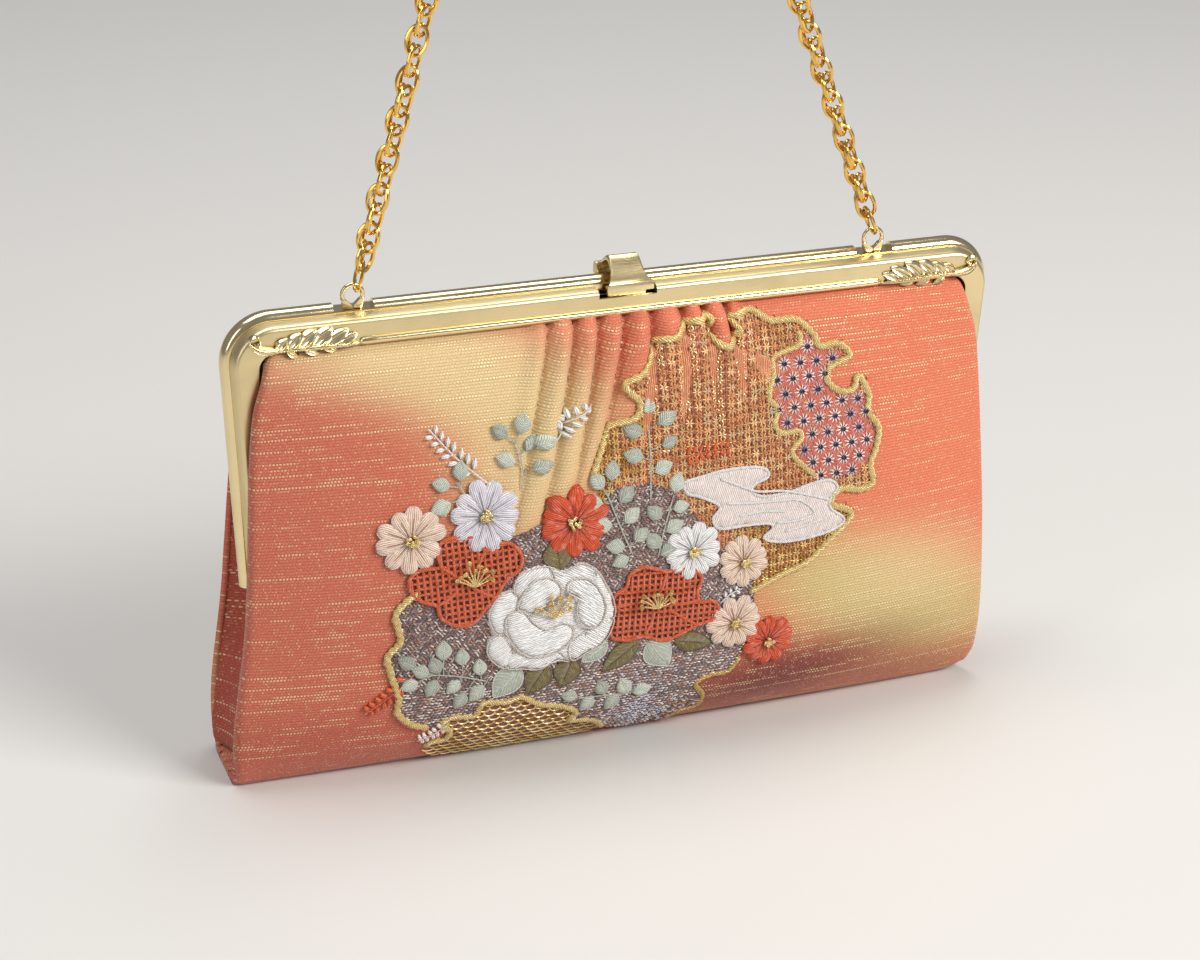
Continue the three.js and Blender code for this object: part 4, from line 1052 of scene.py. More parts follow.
def satin_shape(form, start, end, half, height, tint, widths, lift, slanted=False, groove=0.0, rows=11):
    """One padded satin-stitched petal or leaf. widths gives its shares of the half width along it."""
    start, end = np.array(start, float), np.array(end, float)
    length, ahead = np.linalg.norm(end - start), unit(end - start)
    beside = np.array([-ahead[1], ahead[0]])
    t, s = np.linspace(0, 1, rows)[:, None], np.linspace(-1, 1, 9)[None, :]
    width = half * widths(t)
    x, z = (start[k] + ahead[k] * length * t + beside[k] * width * s for k in (0, 1))
    dome = np.sqrt(1 - (0.97 * s) ** 2) * np.sqrt(width / half) - groove * np.exp(-((s / 0.14) ** 2))
    upper = drape(x, z, lift + height * dome)
    lower = drape(x[:, ::-4], z[:, ::-4], -SILK_WALL)
    if slanted:
        across, along = length * t - np.abs(width * s) * 0.8, width * s
    else:
        across, along = width * s * (0.6 + 0.4 / widths(t).clip(0.3)), length * t + 0 * s
    thread = np.stack([across, along, 0 * x], -1)
    grid = np.concatenate([upper, lower], 1)
    thread = np.concatenate([thread, thread[:, ::-4]], 1)
    form.surface(grid, ring=True, ends=True, thread=thread, tint=tint)


def petal_widths(t):
    tip = np.sqrt(np.clip(1 - ((t - 0.68) / 0.33) ** 2, 0.02, 1))
    return np.where(t < 0.68, 0.3 + 0.7 * eased(t / 0.68), tip)


def leaf_widths(t):
    return np.clip(np.sin(math.pi * np.clip(t, 0.015, 0.985) ** 0.85) ** 0.9, 0.06, 1)


def shape_edge(start, end, half, widths, t):
    """The middle line of a petal or leaf and its two edges, at these shares of its length."""
    middle = start + (end - start) * t[:, None]
    ahead = unit(end - start)
    aside = np.array([-ahead[1], ahead[0]]) * (half * widths(t))[:, None]
    return middle, middle - aside, middle + aside


def embroidered(form, name, finish):
    on_bag(form.make(name, finish, crease=math.radians(60)), "embroidery")


# The grounds of the embroidery: a cloud-edged roundel, a patch inside it, a mauve field below it
# and a scaled gold patch at the base, each worked solid in short stitches.
ROUNDEL_EDGE = [
    (-15.7, 91.4), (-11.6, 101.4), (-8.7, 105.6), (-2, 107.4), (-0.4, 111.8), (-4, 117), (2.2, 120.6),
    (7, 127.5),
    (12.7, 129), (18, 132), (25, 132.2), (23.6, 128.3), (28.6, 124.5), (33.2, 128), (31.7, 131.6),
    (38, 132.4),
    (44, 129.2), (52.1, 128.6), (57.2, 124), (59, 120.5), (65.2, 120.4), (68.5, 116.5), (62, 113.8),
    (61, 110),
    (65, 106.5), (69.4, 106.6), (71.3, 110), (74.5, 104.7), (74.3, 99), (77.6, 93.8), (76.8, 88),
    (74.7, 82.8),
    (75.4, 77), (71.2, 75.5), (64.2, 76.7), (61.2, 72.7), (68, 68), (59.3, 60), (53, 55), (44.6, 52.3),
    (39, 50), (33.5, 47.7),
]
ROUNDEL_BASE = [(20, 52), (2, 66), (-12, 80)]
PATCH_EDGE = [
    (52.5, 125.8), (52.4, 121.6), (46.6, 120), (43.5, 118.3), (43.2, 113.4), (41.5, 107.8), (43.9, 103.7),
    (43, 99.3),
    (45.2, 96.6), (50.4, 96.6), (51.3, 94), (48.2, 90.6), (51, 86.5), (55.7, 82.4),
]
PATCH_SIDE = [(62, 80.5), (69, 80), (74, 83), (76.2, 89), (76, 94), (73.5, 99), (73.5, 104.5), (70.8, 108),
              (65, 105.8),
              (60, 110), (61.5, 115), (66.5, 117), (64, 119.4), (58.4, 119.8), (56, 123.6)]
FIELD_LEFT = [(-69, 63), (-73, 60.5), (-76.5, 56), (-75.2, 48), (-79, 43), (-78.2, 37.8), (-75.8, 28.7),
              (-76, 23.6), (-72, 19), (-66, 16.5)]
SCALE_TOP = [(-67, 8.7), (-64.5, 10.5), (-61, 11), (-59.5, 14), (-62.5, 17), (-59, 19.4), (-52.6, 19),
             (-49.7, 23.2), (-43, 22.4), (-38, 23.4),
             (-32, 19.7), (-24.4, 17.4), (-20, 14.4), (-21.5, 11.3), (-13.7, 9.4), (-8.7, 4)]
FIELD_RIGHT = [(12, 2.8), (15.6, 6.5), (20.8, 8.3), (21.5, 13.2), (18.5, 18), (23, 20.5), (28.8, 21),
               (32.6, 26)]
FIELD_TOP = [(36, 40), (36, 52), (26, 62), (18, 74), (10, 84), (2, 88), (-8, 88), (-13, 84), (-22, 80),
             (-34, 79), (-42, 76), (-56, 68)]
MIST_BAND = [
    (13, 86), (18, 87), (25, 88), (33, 88), (38.5, 87), (40, 84.4), (35, 82.3), (35, 79.8), (39.3, 78.3),
    (47.6, 78.6),
    (54.4, 80), (60.4, 80.2), (63, 77.5), (60.4, 74), (61, 71), (65.4, 67), (61.3, 64.3), (51, 63),
    (42.6, 63.5),
    (38.3, 65.4), (41, 67.6), (40.3, 69.6), (32.6, 70.2), (24, 70.4), (21.8, 73.7), (24, 77.3), (18, 81),
    (13.7, 82.7),
]
PEONY_EDGE = [
    (-49.2, 53.5), (-46.7, 58.6), (-41.4, 60.3), (-39.7, 64.7), (-35.2, 66.3), (-29.9, 66), (-25.5, 64.1),
    (-20.6, 66),
    (-15.8, 63.4), (-12.9, 58.7), (-10.5, 53.5), (-9.9, 47.6), (-10.9, 42.9), (-13.6, 38.8), (-18.4, 36.5),
    (-22.9, 34.4),
    (-27.7, 35.3), (-33.5, 33.1), (-38.3, 34.2), (-43.2, 35.1), (-47.6, 37.8), (-49.6, 42.1), (-47.8, 46.4),
]
CAMELLIAS = [
    [(-63.1, 70.1), (-63.7, 74.1), (-62.3, 77.5), (-57.7, 78.7), (-52.7, 77.8), (-49.5, 73.7), (-46, 75.1),
     (-41.9, 74.8),
     (-38.7, 71.1), (-39.4, 66.7), (-43.5, 63.7), (-46.9, 58.8), (-50.6, 54.9), (-53.9, 51.3),
     (-58.5, 51.2), (-63.1, 54.2),
     (-64.5, 58.3), (-68.9, 60.2), (-72, 64.1), (-71.9, 67.6), (-68.5, 69.9)],
    [(-10.7, 40.6), (-10.1, 47.5), (-10.4, 53.1), (-6.2, 56.3), (-5, 59.9), (-0.9, 61.7), (3.3, 60.6),
     (6.7, 59.3), (11.1, 59.8),
     (15.7, 58.7), (18, 55.3), (16.8, 51.8), (17.7, 47.8), (22.1, 47.2), (24, 44.3), (22, 41),
     (17.1, 39.9), (11.6, 37.6),
     (6.5, 36.3), (0, 38.7), (-5.5, 38.4)],
]
roundel = np.concatenate([smooth_line(ROUNDEL_EDGE, 1.2), ROUNDEL_BASE])
patch = np.concatenate([smooth_line(PATCH_EDGE, 1.2), PATCH_SIDE])
field = np.concatenate([
    smooth_line(FIELD_LEFT, 1.5), [(-62, 16)], smooth_line(SCALE_TOP[5:], 1.5), [(0, 1.4)],
    smooth_line(FIELD_RIGHT, 1.5), FIELD_TOP,
])
scales = np.concatenate([smooth_line(SCALE_TOP, 1.5), [(-20, 0.9), (-50, 0.9), (-62, 3)]])
grounds, cords = Form(), Form()
for outline, lift, dome, colour, angle, step in (
    (roundel, 0.08, 0.2, (232, 150, 106), 90, 1.3),
    (patch, 0.35, 0.15, (224, 120, 98), 60, 2.2),
    (field, 0.2, 0.25, (132, 110, 110), 0, 2.2),
    (scales, 0.12, 0.2, (140, 62, 38), 0, 2.2),
):
    stitched_patch(grounds, outline, lift, dome, dyed(*colour), angle, step)
embroidered(grounds, "stitched_grounds", silk)
for edge, radius, tint in (
    (ROUNDEL_EDGE, 1.1, GOLD), (PATCH_EDGE, 0.95, GOLD), (FIELD_LEFT, 1.1, GOLD), (SCALE_TOP, 1.0, GOLD),
    (FIELD_RIGHT, 0.85, OLD_GOLD),
):
    couched_cord(cords, edge, radius, tint)
embroidered(cords, "gold_cords", gold_thread)

# The short stitches that fill the grounds: stars of gold in the roundel, white starbursts with blue
# knots in the patch, mixed mauve and grey stitches in the field and gold scales at the base.
stitch_random = random.Random(11)


def stitch(form, start, end, radius, arch=0.35):
    """One stitch from point to point, thin at the ends and arched off the cloth."""
    start, end = np.array(start, float), np.array(end, float)
    t = np.linspace(0, 1, 4)
    line = start + (end - start) * t[:, None]
    line[:, 1] -= arch * np.sin(math.pi * t)
    bead_line(form, line, radius * np.array([0.45, 1, 1, 0.45]), 4)


def star_template(name, arms, inner, radius, finish):
    """Stitches round a middle. Each arm is its direction in degrees and how far it reaches."""
    form = Form()
    for angle, outer in arms:
        direction = np.array([math.cos(math.radians(angle)), 0, math.sin(math.radians(angle))])
        stitch(form, inner * direction, outer * direction, radius)
    return template_of(form, name, finish)


def facing(x, z, angle, lift):
    """Where a stitch is set on the cloth: its point and its axes, -Y outward."""
    hit, normal = on_cloth(x, z)
    right = Vector((1, 0, 0))
    right = (right - normal * right.dot(normal)).normalized()
    up = right.cross(normal)
    up = up if up.z > 0 else -up
    turned = right * math.cos(angle) + up * math.sin(angle)
    return tuple(hit + normal * lift), (turned, -normal, turned.cross(-normal))


def sown(outline, step_x, step_z, jitter, stagger=0.5, without=()):
    """Points in rows inside an outline, a little uneven, clear of what covers them."""
    low, high = np.min(outline, 0), np.max(outline, 0)
    rows, columns = int((high[1] - low[1]) / step_z) + 1, int((high[0] - low[0]) / step_x) + 2
    for row, column in np.ndindex(rows, columns):
        x = low[0] + (column + stagger * (row % 2)) * step_x + stitch_random.uniform(-jitter, jitter)
        z = low[1] + (row + 0.5) * step_z + stitch_random.uniform(-jitter, jitter)
        if inside(outline, x, z) and not any(inside(np.array(o), x, z) for o in without):
            yield x, z


def lit(tint, light):
    return (*(c * light for c in tint[:3]), 1)


def in_tone(*tones):
    return lit(stitch_random.choice(tones), stitch_random.uniform(0.85, 1.2))


def sew(places, x, z, angle, lift, tones, size=SAME_SIZE):
    """One more place for a template, turned on the cloth and in one of the tones."""
    places.append((*facing(x, z, angle, lift), size, in_tone(*tones)))


STAR_ARMS = ((56, 1.6), (124, 1.6), (236, 1.6), (304, 1.6), (0, 1.3), (180, 1.3))
star = star_template("star_template", STAR_ARMS, 0.15, 0.23, gold_thread)
short_form = Form()
stitch(short_form, (-0.6, 0, 0), (0.6, 0, 0), 0.25, 0.3)
short = template_of(short_form, "short_template", silk)
RUST_TONES = dyes((248, 208, 150), (238, 184, 130), (252, 226, 174))
OCHRE_TONES = dyes((230, 194, 110), (206, 164, 84), (246, 218, 140))
SHADOW_TONES = dyes((150, 84, 56), (176, 106, 70), (124, 78, 58))
places, shadows = [], []
for x, z in sown(roundel, 2.6, 2.35, 0.2, stagger=0, without=(patch, field, MIST_BAND)):
    gold_share = max(eased((76 - z) / 12) * eased((x - 26) / 6), eased((4 - x) / 14) * eased((112 - z) / 8))
    tones = OCHRE_TONES if stitch_random.random() < gold_share else RUST_TONES
    sew(places, x, z, stitch_random.uniform(-0.25, 0.25), 0.45, tones)
    upright = math.pi / 2 + stitch_random.uniform(-0.3, 0.3)
    sew(shadows, x + 1.3, z + 1.1, upright, 0.38, SHADOW_TONES, (1, 1, 0.9))
lay("roundel_stars", star, places, gold_thread)
lay("roundel_shadows", short, shadows, silk)

WHITE_TONES = dyes((244, 236, 238), (222, 208, 222), (250, 246, 244))
PATCH_TONES = dyes((226, 130, 108), (206, 140, 142), (226, 190, 156))
burst = star_template("burst_template", [(a, 2.35) for a in range(0, 360, 36)], 0.5, 0.2, silk)
places, knots = [], []
for x, z in sown(patch, 5.3, 4.3, 0.1):
    sew(places, x, z, stitch_random.uniform(0, 0.6), 0.45, WHITE_TONES)
    knots.append((x, z))
lay("white_bursts", burst, places, silk)
small_star = star_template("small_star_template", [(a, 1.0) for a in range(0, 360, 90)], 0.1, 0.2, silk)
places = []
for x, z in sown(patch, 2.65, 2.15, 0.2):
    if min(math.hypot(x - a, z - b) for a, b in knots) > 1.6:
        sew(places, x, z, stitch_random.uniform(0, 1.5), 0.35, PATCH_TONES)
lay("patch_fill", small_star, places, silk)

KNOT_RADIUS = 0.42
knot_form, spin = Form(), np.linspace(0, 7.5, 11)
wound_up = np.stack([KNOT_RADIUS * np.cos(spin), -0.1 - 0.06 * spin, KNOT_RADIUS * np.sin(spin)], -1)
bead_line(knot_form, wound_up, 0.26, 5)
knot = template_of(knot_form, "knot_template", silk)
places = [(*facing(x, z, 0, 0.6), (1.15, 1.4, 1.15), dyed(38, 44, 74)) for x, z in knots]
lay("blue_knots", knot, places, silk)

MAUVE_TONES = dyes(
    (188, 160, 148), (210, 198, 190), (144, 116, 110), (196, 140, 112), (228, 218, 206), (116, 92, 90)
)
LAVENDER_TONES = dyes((200, 196, 206), (226, 222, 230), (166, 158, 170))
LEVEL_BELOW = 30  # the field's stitches lie level below this height
places = []
for x, z in sown(field, 1.2, 0.98, 0.22, without=(PEONY_EDGE, *CAMELLIAS, scales)):
    if z < LEVEL_BELOW:
        angle = stitch_random.uniform(-0.25, 0.25)
    else:
        angle = stitch_random.choice((-0.7, 0.7)) + stitch_random.uniform(-0.4, 0.4)
    pale = stitch_random.random() < math.exp(-((x / 9) ** 2 + ((z - 11) / 9) ** 2))
    sew(places, x, z, angle, 0.4, LAVENDER_TONES if pale else MAUVE_TONES)
lay("mauve_stitches", short, places, silk)

SCALE_HALF, SCALE_RISE = 1.7, 1.25
arc_form, spin = Form(), np.linspace(math.pi, 2 * math.pi, 9)
scale_line = np.stack([SCALE_HALF * np.cos(spin), 0 * spin - 0.15, SCALE_RISE * np.sin(spin)], -1)
bead_line(arc_form, scale_line, 0.24, 5)
arc = template_of(arc_form, "scale_template", gold_thread)
places = []
for x, z in sown(scales, 3.2, 1.75, 0.08):
    sew(places, x, z, 0, 0.3, (BRIGHT_GOLD, GOLD, OLD_GOLD))
lay("gold_scales", arc, places, gold_thread)

# The pale mist band that drifts over the roundel: satin stitch in blush silk, its folds in white cord.
BLUSH, MIST_WHITE = dyes((250, 236, 230), (253, 250, 248))
band = Form()
stitched_patch(band, smooth_line(MIST_BAND, 1.0, closed=True), 0.7, 0.5, BLUSH, 70, step=1.3, rim=1.2)
couched_cord(band, MIST_BAND, 0.48, MIST_WHITE, closed=True, lift=0.95, sides=6, step=0.6)
for chart in (
    [(24, 86), (30, 83), (36, 80.4), (45, 79.2), (54, 76.5), (60.5, 74)],
    [(26, 78), (34, 77), (42, 76.5), (50, 75.6), (55, 71), (50, 69.4), (42, 69.6)],
    [(30, 73.5), (38, 73.8), (46, 72.6)],
    [(45, 66.5), (53, 67.5), (60, 69)],
):
    couched_cord(band, chart, 0.4, MIST_WHITE, lift=1.3, sides=6, step=0.6)
embroidered(band, "mist_band", silk)

# The lattice camellias: a dark ground crossed by raised bars of vermilion silk, corded round the
# edge and between the petals.
VERMILION, LATTICE_SHADE = dyes((232, 102, 50), (146, 56, 34))
BAR_PITCH, BAR_RADIUS = 1.85, 0.46
CAMELLIA_FOLDS = (
    [(-49.5, 73.7), (-51.5, 70), (-53, 67)],
    [(-63.1, 70.1), (-60, 68), (-58, 66)],
    [(-64.5, 58.3), (-61, 60), (-58.5, 62)],
    [(-46.9, 58.8), (-51, 61), (-54, 63)],
    [(6.7, 59.3), (5.5, 55), (4.5, 53)],
    [(-10.2, 50), (-5, 50.5), (0, 50.5)],
    [(0, 38.7), (2, 43), (3, 47)],
    [(17.3, 48.5), (12, 48), (7, 49)],
    [(17.1, 39.9), (12, 43.5), (7, 47)],
)
lattice = Form()
for edge_chart, tilt in zip(CAMELLIAS, (0.06, -0.05)):
    outline = smooth_line(edge_chart, 1.0, closed=True)
    stitched_patch(lattice, outline, 0.55, 0.2, LATTICE_SHADE, 45, step=2.0)
    low, high = outline.min(0) - 2, outline.max(0) + 2
    for way in (0, 1):
        for offset in np.arange(low[1 - way], high[1 - way], BAR_PITCH):
            run = np.arange(low[way], high[way], 0.8)
            aside = offset + (-1) ** way * tilt * (run - low[way])
            x, z = (aside, run) if way else (run, aside)
            within = inside(outline, x, z)
            starts = np.flatnonzero(np.diff(np.concatenate([[0], within.astype(int), [0]])))
            for first, last in zip(starts[::2], starts[1::2]):
                if last - first > 2:
                    bar = np.stack([x[first:last], z[first:last]], -1)
                    lift = 1.0 + 0.12 * way
                    couched_cord(lattice, bar, BAR_RADIUS, VERMILION, lift=lift, sides=6, step=0.8)
    couched_cord(lattice, edge_chart, 0.62, VERMILION, closed=True, lift=1.05, sides=8)
for chart in CAMELLIA_FOLDS:
    couched_cord(lattice, chart, 0.5, VERMILION, lift=1.25, sides=6)
embroidered(lattice, "lattice_camellias", silk)

# The white peony: long satin stitches, one sheet of petals over another, edged in cream cord.
PEONY_WHITE, CREAM = dyes((254, 253, 251), (236, 224, 212))
PEONY_OUTER = (  # the ring of outer petals, each with the slope of its threads
    ([(-49, 53), (-46.5, 58.5), (-41.5, 60.3), (-39, 55), (-41, 49), (-46, 46.5)], 10),
    ([(-41.4, 60), (-39.7, 64.7), (-35.2, 66.3), (-30, 66), (-29, 60), (-34, 56), (-39, 56)], 35),
    ([(-30, 65.8), (-25.5, 64), (-20.6, 66), (-16, 63.4), (-17, 58), (-23, 56), (-28, 58)], -30),
    ([(-15.8, 63), (-12.9, 58.7), (-10.5, 53.5), (-9.9, 47.6), (-14, 45), (-18, 50), (-18.5, 57)], -10),
    ([(-10.2, 47), (-10.9, 42.9), (-13.6, 38.8), (-18.4, 36.5), (-23, 34.6), (-24, 40), (-19, 44),
      (-14, 47)], -35),
    ([(-24, 34.6), (-28, 35.3), (-33.5, 33.2), (-38.3, 34.2), (-43.2, 35.1), (-44, 40), (-37, 41),
      (-29, 39.5)], 20),
    ([(-43.4, 35.2), (-47.6, 37.8), (-49.6, 42.1), (-47.8, 46.4), (-43, 46), (-41.5, 40)], 30),
)
PEONY_INNER = (
    ([(-43.4, 52.9), (-44, 47.9), (-41, 42), (-36.1, 38.2), (-29, 38.4), (-24, 41.5), (-23, 46),
      (-26.5, 48.1), (-31, 46.6),
      (-35.2, 49.3), (-38.8, 53.9)], 12),
    ([(-24.6, 61), (-25, 57.7), (-21.8, 55.4), (-22.2, 51), (-20, 46), (-15, 45.5), (-12.9, 51),
      (-14.4, 56), (-17, 60), (-21, 61.8)], -35),
    ([(-40.5, 55.2), (-36, 52.5), (-31, 54.5), (-27, 57), (-27.6, 61), (-31.5, 63.4), (-36.5, 62)], 25),
)
PEONY_FOLDS = (
    [(-46, 57.5), (-43, 55), (-42, 52)],
    [(-16.5, 37.4), (-19, 40.5), (-18.5, 44)],
    [(-31, 34.2), (-30, 36.5), (-32, 39)],
    [(-12.2, 57.7), (-15.5, 55.5), (-17, 52)],
)
PEONY_SLOPE = 8


def frayed(chart, reach):
    """A petal's edge where the threads end a little short or long."""
    line = smooth_line(chart, 0.8, closed=True)
    ahead = unit(np.roll(line, -1, 0) - np.roll(line, 1, 0))
    outward = np.stack([ahead[:, 1], -ahead[:, 0]], -1)
    return line + outward * np.array([[stitch_random.uniform(-reach, reach)] for _ in line])


peony = Form()
stitched_patch(peony, frayed(PEONY_EDGE, 0.45), 0.7, 0.8, PEONY_WHITE, PEONY_SLOPE, step=1.4, rim=3.0)
for petals, fray, lift, dome, rim, cord_radius, cord_lift in (
    (PEONY_OUTER, 0.3, 1.1, 0.9, 2.0, 0.2, 1.75),
    (PEONY_INNER, 0.25, 1.7, 1.0, 2.2, 0.26, 2.45),
):
    for chart, angle in petals:
        stitched_patch(peony, frayed(chart, fray), lift, dome, PEONY_WHITE, angle, step=1.3, rim=rim)
        couched_cord(peony, chart, cord_radius, CREAM, closed=True, lift=cord_lift, sides=6, step=0.6)
for chart in PEONY_FOLDS:
    couched_cord(peony, chart, 0.3, CREAM, lift=1.7, sides=6, step=0.6)
embroidered(peony, "white_peony", silk)
places = []
for x, z in sown(np.array(PEONY_EDGE), 2.3, 0.8, 0.4):
    over = [(*petal, lift) for petals, lift in ((PEONY_INNER, 2.6), (PEONY_OUTER, 1.9)) for petal in petals
            if inside(np.array(petal[0]), x, z)]
    edge, angle, lift = over[0] if over else (PEONY_EDGE, PEONY_SLOPE, 1.45)
    angle = math.radians(angle) + stitch_random.uniform(-0.15, 0.15)
    size = stitch_random.uniform(1.8, 2.8)
    reach = size * 0.75
    ends = [(x + way * reach * math.cos(angle), z + way * reach * math.sin(angle)) for way in (-1, 1)]
    if all(inside(np.array(edge), *end) for end in ends):
        tint = lit(PEONY_WHITE, stitch_random.uniform(0.92, 1.05))
        places.append((*facing(x, z, angle, lift), (size, 0.7, 0.7), tint))
lay("peony_threads", short, places, silk)

# The small asters: ten padded petals each, outlined in a fine cord and with a darker vein, round a
# middle of gold knots.
PEACH, PEACH_EDGE, VIOLET_WHITE = dyes((250, 222, 200), (254, 240, 226), (236, 232, 240))
SNOW, FLAME, FLAME_EDGE = dyes((253, 252, 250), (228, 86, 40), (214, 74, 36))
TAN, GREY, RUST = dyes((196, 146, 108), (176, 172, 182), (160, 52, 28))
ASTERS = (  # middle, radius, turn, petals, edges, veins
    ((-71, 79), 10.2, 10, PEACH, PEACH_EDGE, TAN),
    ((-49, 84), 10.4, -3, VIOLET_WHITE, SNOW, GREY),
    ((-22, 78.6), 10.7, 15, FLAME, FLAME_EDGE, RUST),
    ((15.4, 64.7), 9.2, 5, SNOW, SNOW, GREY),
    ((31.7, 58.8), 8.4, 20, PEACH, PEACH_EDGE, TAN),
    ((29.7, 38.6), 9.0, 0, PEACH, PEACH_EDGE, TAN),
    ((41.2, 30.3), 8.4, 12, FLAME, FLAME_EDGE, RUST),
)
PETALS, MIDDLE_KNOTS = 10, 18
asters = Form()
middles = []
for middle, radius, turn_angle, tint, edge_tint, vein_tint in ASTERS:
    for i in range(PETALS):
        a = math.radians(turn_angle + 360 / PETALS * i + stitch_random.uniform(-4, 4))
        reach = radius * stitch_random.uniform(0.9, 1.06)
        base, tip = (middle + np.array([math.cos(a), math.sin(a)]) * r for r in (radius * 0.12, reach))
        half, layer = radius * 0.235, 0.15 * (i % 2)
        satin_shape(asters, base, tip, half, 0.95, tint, petal_widths, 0.85 + layer, groove=0.3)
        _, left, right = shape_edge(base, tip, half, petal_widths, np.linspace(0.2, 0.985, 9))
        border = np.concatenate([left, [base + (tip - base) * 0.93], right[::-1]])
        couched_cord(asters, border, 0.22, edge_tint, lift=1.0 + layer, sides=5, step=0.6)
        vein = [base + (tip - base) * share for share in (0, 0.35, 0.7)]
        couched_cord(asters, vein, 0.16, vein_tint, lift=1.55 + layer, sides=5, step=0.7)
    for _ in range(MIDDLE_KNOTS):
        r, a = radius * 0.17 * math.sqrt(stitch_random.random()), stitch_random.uniform(0, 6.28)
        x, z = middle[0] + r * math.cos(a), middle[1] + r * math.sin(a)
        sew(middles, x, z, a, 2.0, (OLD_GOLD, GOLD, BRIGHT_GOLD), (0.8, 1.1, 0.8))
embroidered(asters, "aster_petals", silk)

# The leaves: olive and sage silk laid aslant from a middle vein, edged with a fine cord.
OLIVE, OLIVE_EDGE, SAGE, SAGE_EDGE = dyes((132, 116, 66), (98, 82, 44), (200, 208, 192), (234, 238, 228))
LEAVES = (  # foot, tip, half width, silk, edge
    ((-26.5, 64.5), (-28.2, 75), 4.7, OLIVE, OLIVE_EDGE),
    ((-30.5, 34), (-36.5, 24.6), 4.3, OLIVE, OLIVE_EDGE),
    ((-22.5, 35), (-26, 25.2), 4.3, OLIVE, OLIVE_EDGE),
    ((-1.5, 37.5), (-13, 28.6), 3.7, OLIVE, OLIVE_EDGE),
    ((10, 35.6), (22.6, 32.6), 3.4, OLIVE, OLIVE_EDGE),
    ((-39, 34.5), (-47, 25), 4.6, SAGE, SAGE_EDGE),
    ((1.5, 36.6), (8.6, 27.0), 4.5, SAGE, SAGE_EDGE),
    ((-11.5, 38.5), (-19.6, 33.0), 3.0, SAGE, SAGE_EDGE),
)
leaves = Form()
for foot, tip, half, tint, edge_tint in LEAVES:
    foot, tip = np.array(foot), np.array(tip)
    satin_shape(leaves, foot, tip, half, 0.9, tint, leaf_widths, 0.55, slanted=True, groove=0.35, rows=13)
    middle, left, right = shape_edge(foot, tip, half, leaf_widths, np.linspace(0.03, 0.99, 11))
    couched_cord(leaves, np.concatenate([left, right[::-1]]), 0.24, edge_tint, lift=0.8, sides=5, step=0.7)
    couched_cord(leaves, middle[1:-2], 0.2, edge_tint, lift=1.15, sides=5, step=0.8)

# The sprigs: fine stems with small round leaves of sage silk, white ferns and vermilion sprigs.
SPRIGS = (  # stem, leaves
    ([(-50, 86), (-54, 90), (-57, 95)], [(-61.6, 94.4), (-55.5, 98), (-62, 87.7)]),
    ([(-38, 90), (-37.5, 98), (-38.5, 106)], [(-43, 107.6), (-36.2, 109.6), (-34, 103.6), (-29.6, 104),
                                              (-42, 99.6), (-31, 97)]),
    ([(2, 82), (2.5, 93), (3, 105)], [(2.9, 110), (8, 106.3), (-3, 103.7), (8.6, 99), (-3, 96.2),
                                      (6.5, 91.5)]),
    ([(-4, 66), (-8, 76), (-12, 87)], [(-14.5, 90), (-9.6, 92.6), (-5.5, 85), (-16, 83.5), (-4, 78.4),
                                       (-13.6, 76.5), (-1.3, 72), (-9.5, 69.5), (-8, 64.6)]),
    ([(4, 64), (6, 72), (9, 82)], [(3, 78.3), (10.6, 86.5), (11.6, 79), (9.5, 73.2), (2.5, 69.6), (7.5, 66)]),
    ([(-49, 31), (-58, 34), (-68, 36)], [(-62.5, 43.5), (-56.9, 40.6), (-73.4, 40.6), (-69.4, 37.2),
                                         (-65, 38.8), (-51.5, 36.4), (-72.8, 32.8), (-66, 31),
                                        (-59.5, 30.6), (-57.3, 25.4), (-52.3, 27.3)]),
    ([(-4, 19), (-12, 19.5), (-20, 20)], [(-12.8, 22.8), (-5.5, 22), (-23, 21.4), (-17, 17.4), (-9, 16.6),
                                          (0.6, 19.6)]),
)
SPRIG_LEAF, SPRIG_HALF = 6.0, 2.3
for stem, tips in SPRIGS:
    couched_cord(leaves, stem, 0.24, SAGE, lift=0.85, sides=5, step=0.8)
    stem_line = smooth_line(stem, 1.0)
    for middle in np.array(tips, float):
        nearest = stem_line[max(np.argmin(np.hypot(*(stem_line - middle).T)) - 2, 0)]
        way = unit(middle - nearest)
        size = stitch_random.uniform(0.88, 1.1)
        foot, tip = middle - way * SPRIG_LEAF / 2 * size, middle + way * SPRIG_LEAF / 2 * size
        tint = lit(SAGE, stitch_random.uniform(0.75, 1.25))
        half = SPRIG_HALF * size
        satin_shape(leaves, foot, tip, half, 0.8, tint, leaf_widths, 0.95, slanted=True, groove=0.3, rows=9)
        for line, radius, silk_tint, lift in (
            ([foot, middle, tip - way * 0.8], 0.14, SAGE_EDGE, 1.5),
            ([nearest, (nearest + foot) / 2, foot + way * 0.5], 0.18, SAGE, 0.8),
        ):
            couched_cord(leaves, line, radius, silk_tint, lift=lift, sides=5, step=0.8)
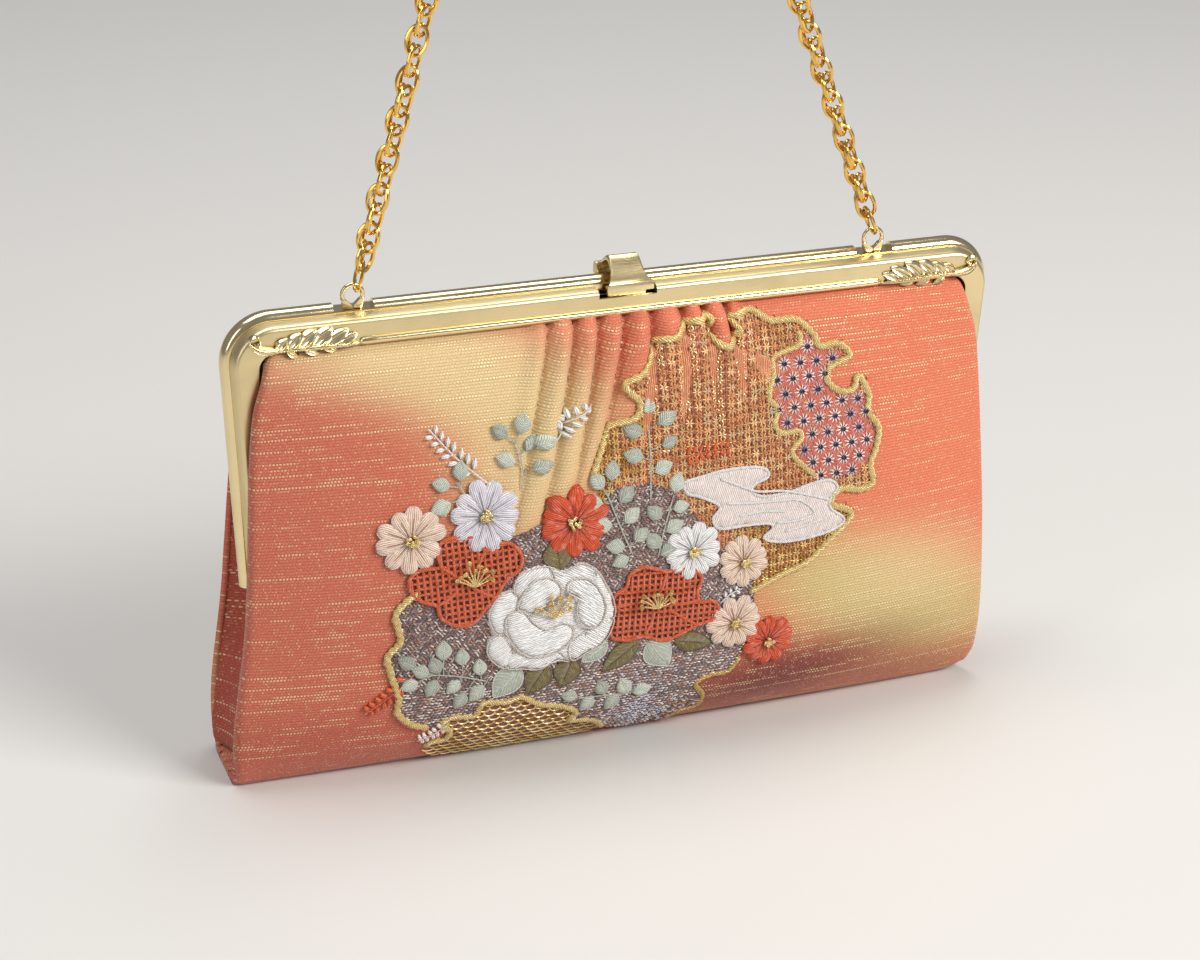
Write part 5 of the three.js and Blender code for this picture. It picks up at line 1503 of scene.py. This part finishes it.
FERNS = (  # foot, tip, leaflet pairs, leaflet length, silk
    ((-47.3, 93), (-64.4, 111), 7, 3.6, SNOW),
    ((-28.2, 103), (-15.2, 112.6), 5, 3.2, SNOW),
    ((9, 92.5), (29, 94.5), 7, 2.8, VERMILION),
    ((-70, 38), (-86, 24.5), 7, 3.0, VERMILION),
    ((-60, 18), (-70, 12), 5, 2.2, BLUSH),
    ((24.5, 46), (32, 50), 3, 2.0, SNOW),
)
for foot, tip, count, size, tint in FERNS:
    foot, tip = np.array(foot, float), np.array(tip, float)
    way = unit(tip - foot)
    beside = np.array([-way[1], way[0]])
    line = [foot, (foot + tip) / 2 + beside * 0.8, tip]
    couched_cord(leaves, line, 0.22, tint, lift=1.0, sides=5, step=0.7)
    curve = smooth_line(line, 0.5)
    for i in range(count):
        root = curve[int((0.25 + 0.75 * i / count) * (len(curve) - 1))]
        for sign in (-1, 1):
            end = root + (way * 0.6 + sign * beside) * size * (1 - 0.35 * i / count)
            satin_shape(leaves, root + (end - root) * 0.2, end, 0.6, 0.5, tint, leaf_widths, 0.85, rows=7)
embroidered(leaves, "leaves_and_sprigs", silk)

# The stamens of the large flowers: fine gold stems that end in knots.
STAMENS = (  # foot, how many, spread to each side, reach
    (-53.4, 63.5, 9, 1.3, 8.0),
    (3.3, 48.5, 9, 1.5, 7.0),
    (-29, 50.5, 10, 1.2, 7.5),
)
stamens = Form()
for x, z, count, spread, reach in STAMENS:
    for i in range(count):
        a = math.pi / 2 + spread * ((i + 0.5) / count * 2 - 1) + stitch_random.uniform(-0.1, 0.1)
        r = reach * stitch_random.uniform(0.6, 1.0)
        bow = (x + 0.5 * r * math.cos(a * 0.97), z + 0.5 * r * math.sin(a))
        tip = (x + r * math.cos(a), z + r * math.sin(a))
        couched_cord(stamens, [(x, z), bow, tip], 0.24, GOLD, lift=2.95, sides=5, step=0.7)
        for _ in range(2):
            spot = [c + stitch_random.uniform(-0.6, 0.6) for c in tip]
            sew(middles, *spot, a, 3.1, (GOLD, OLD_GOLD), (0.9, 1.1, 0.9))
embroidered(stamens, "gold_stamens", gold_thread)
lay("gold_knots", knot, middles, gold_thread)
for template in (link_template, star, burst, small_star, arc, short, knot):
    bpy.data.objects.remove(template)

bpy.context.view_layer.update()
({name: [list(map(float, p)) for p in corners_of] for name, corners_of in
           (("cad", cad_bounds), ("visual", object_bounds()))})
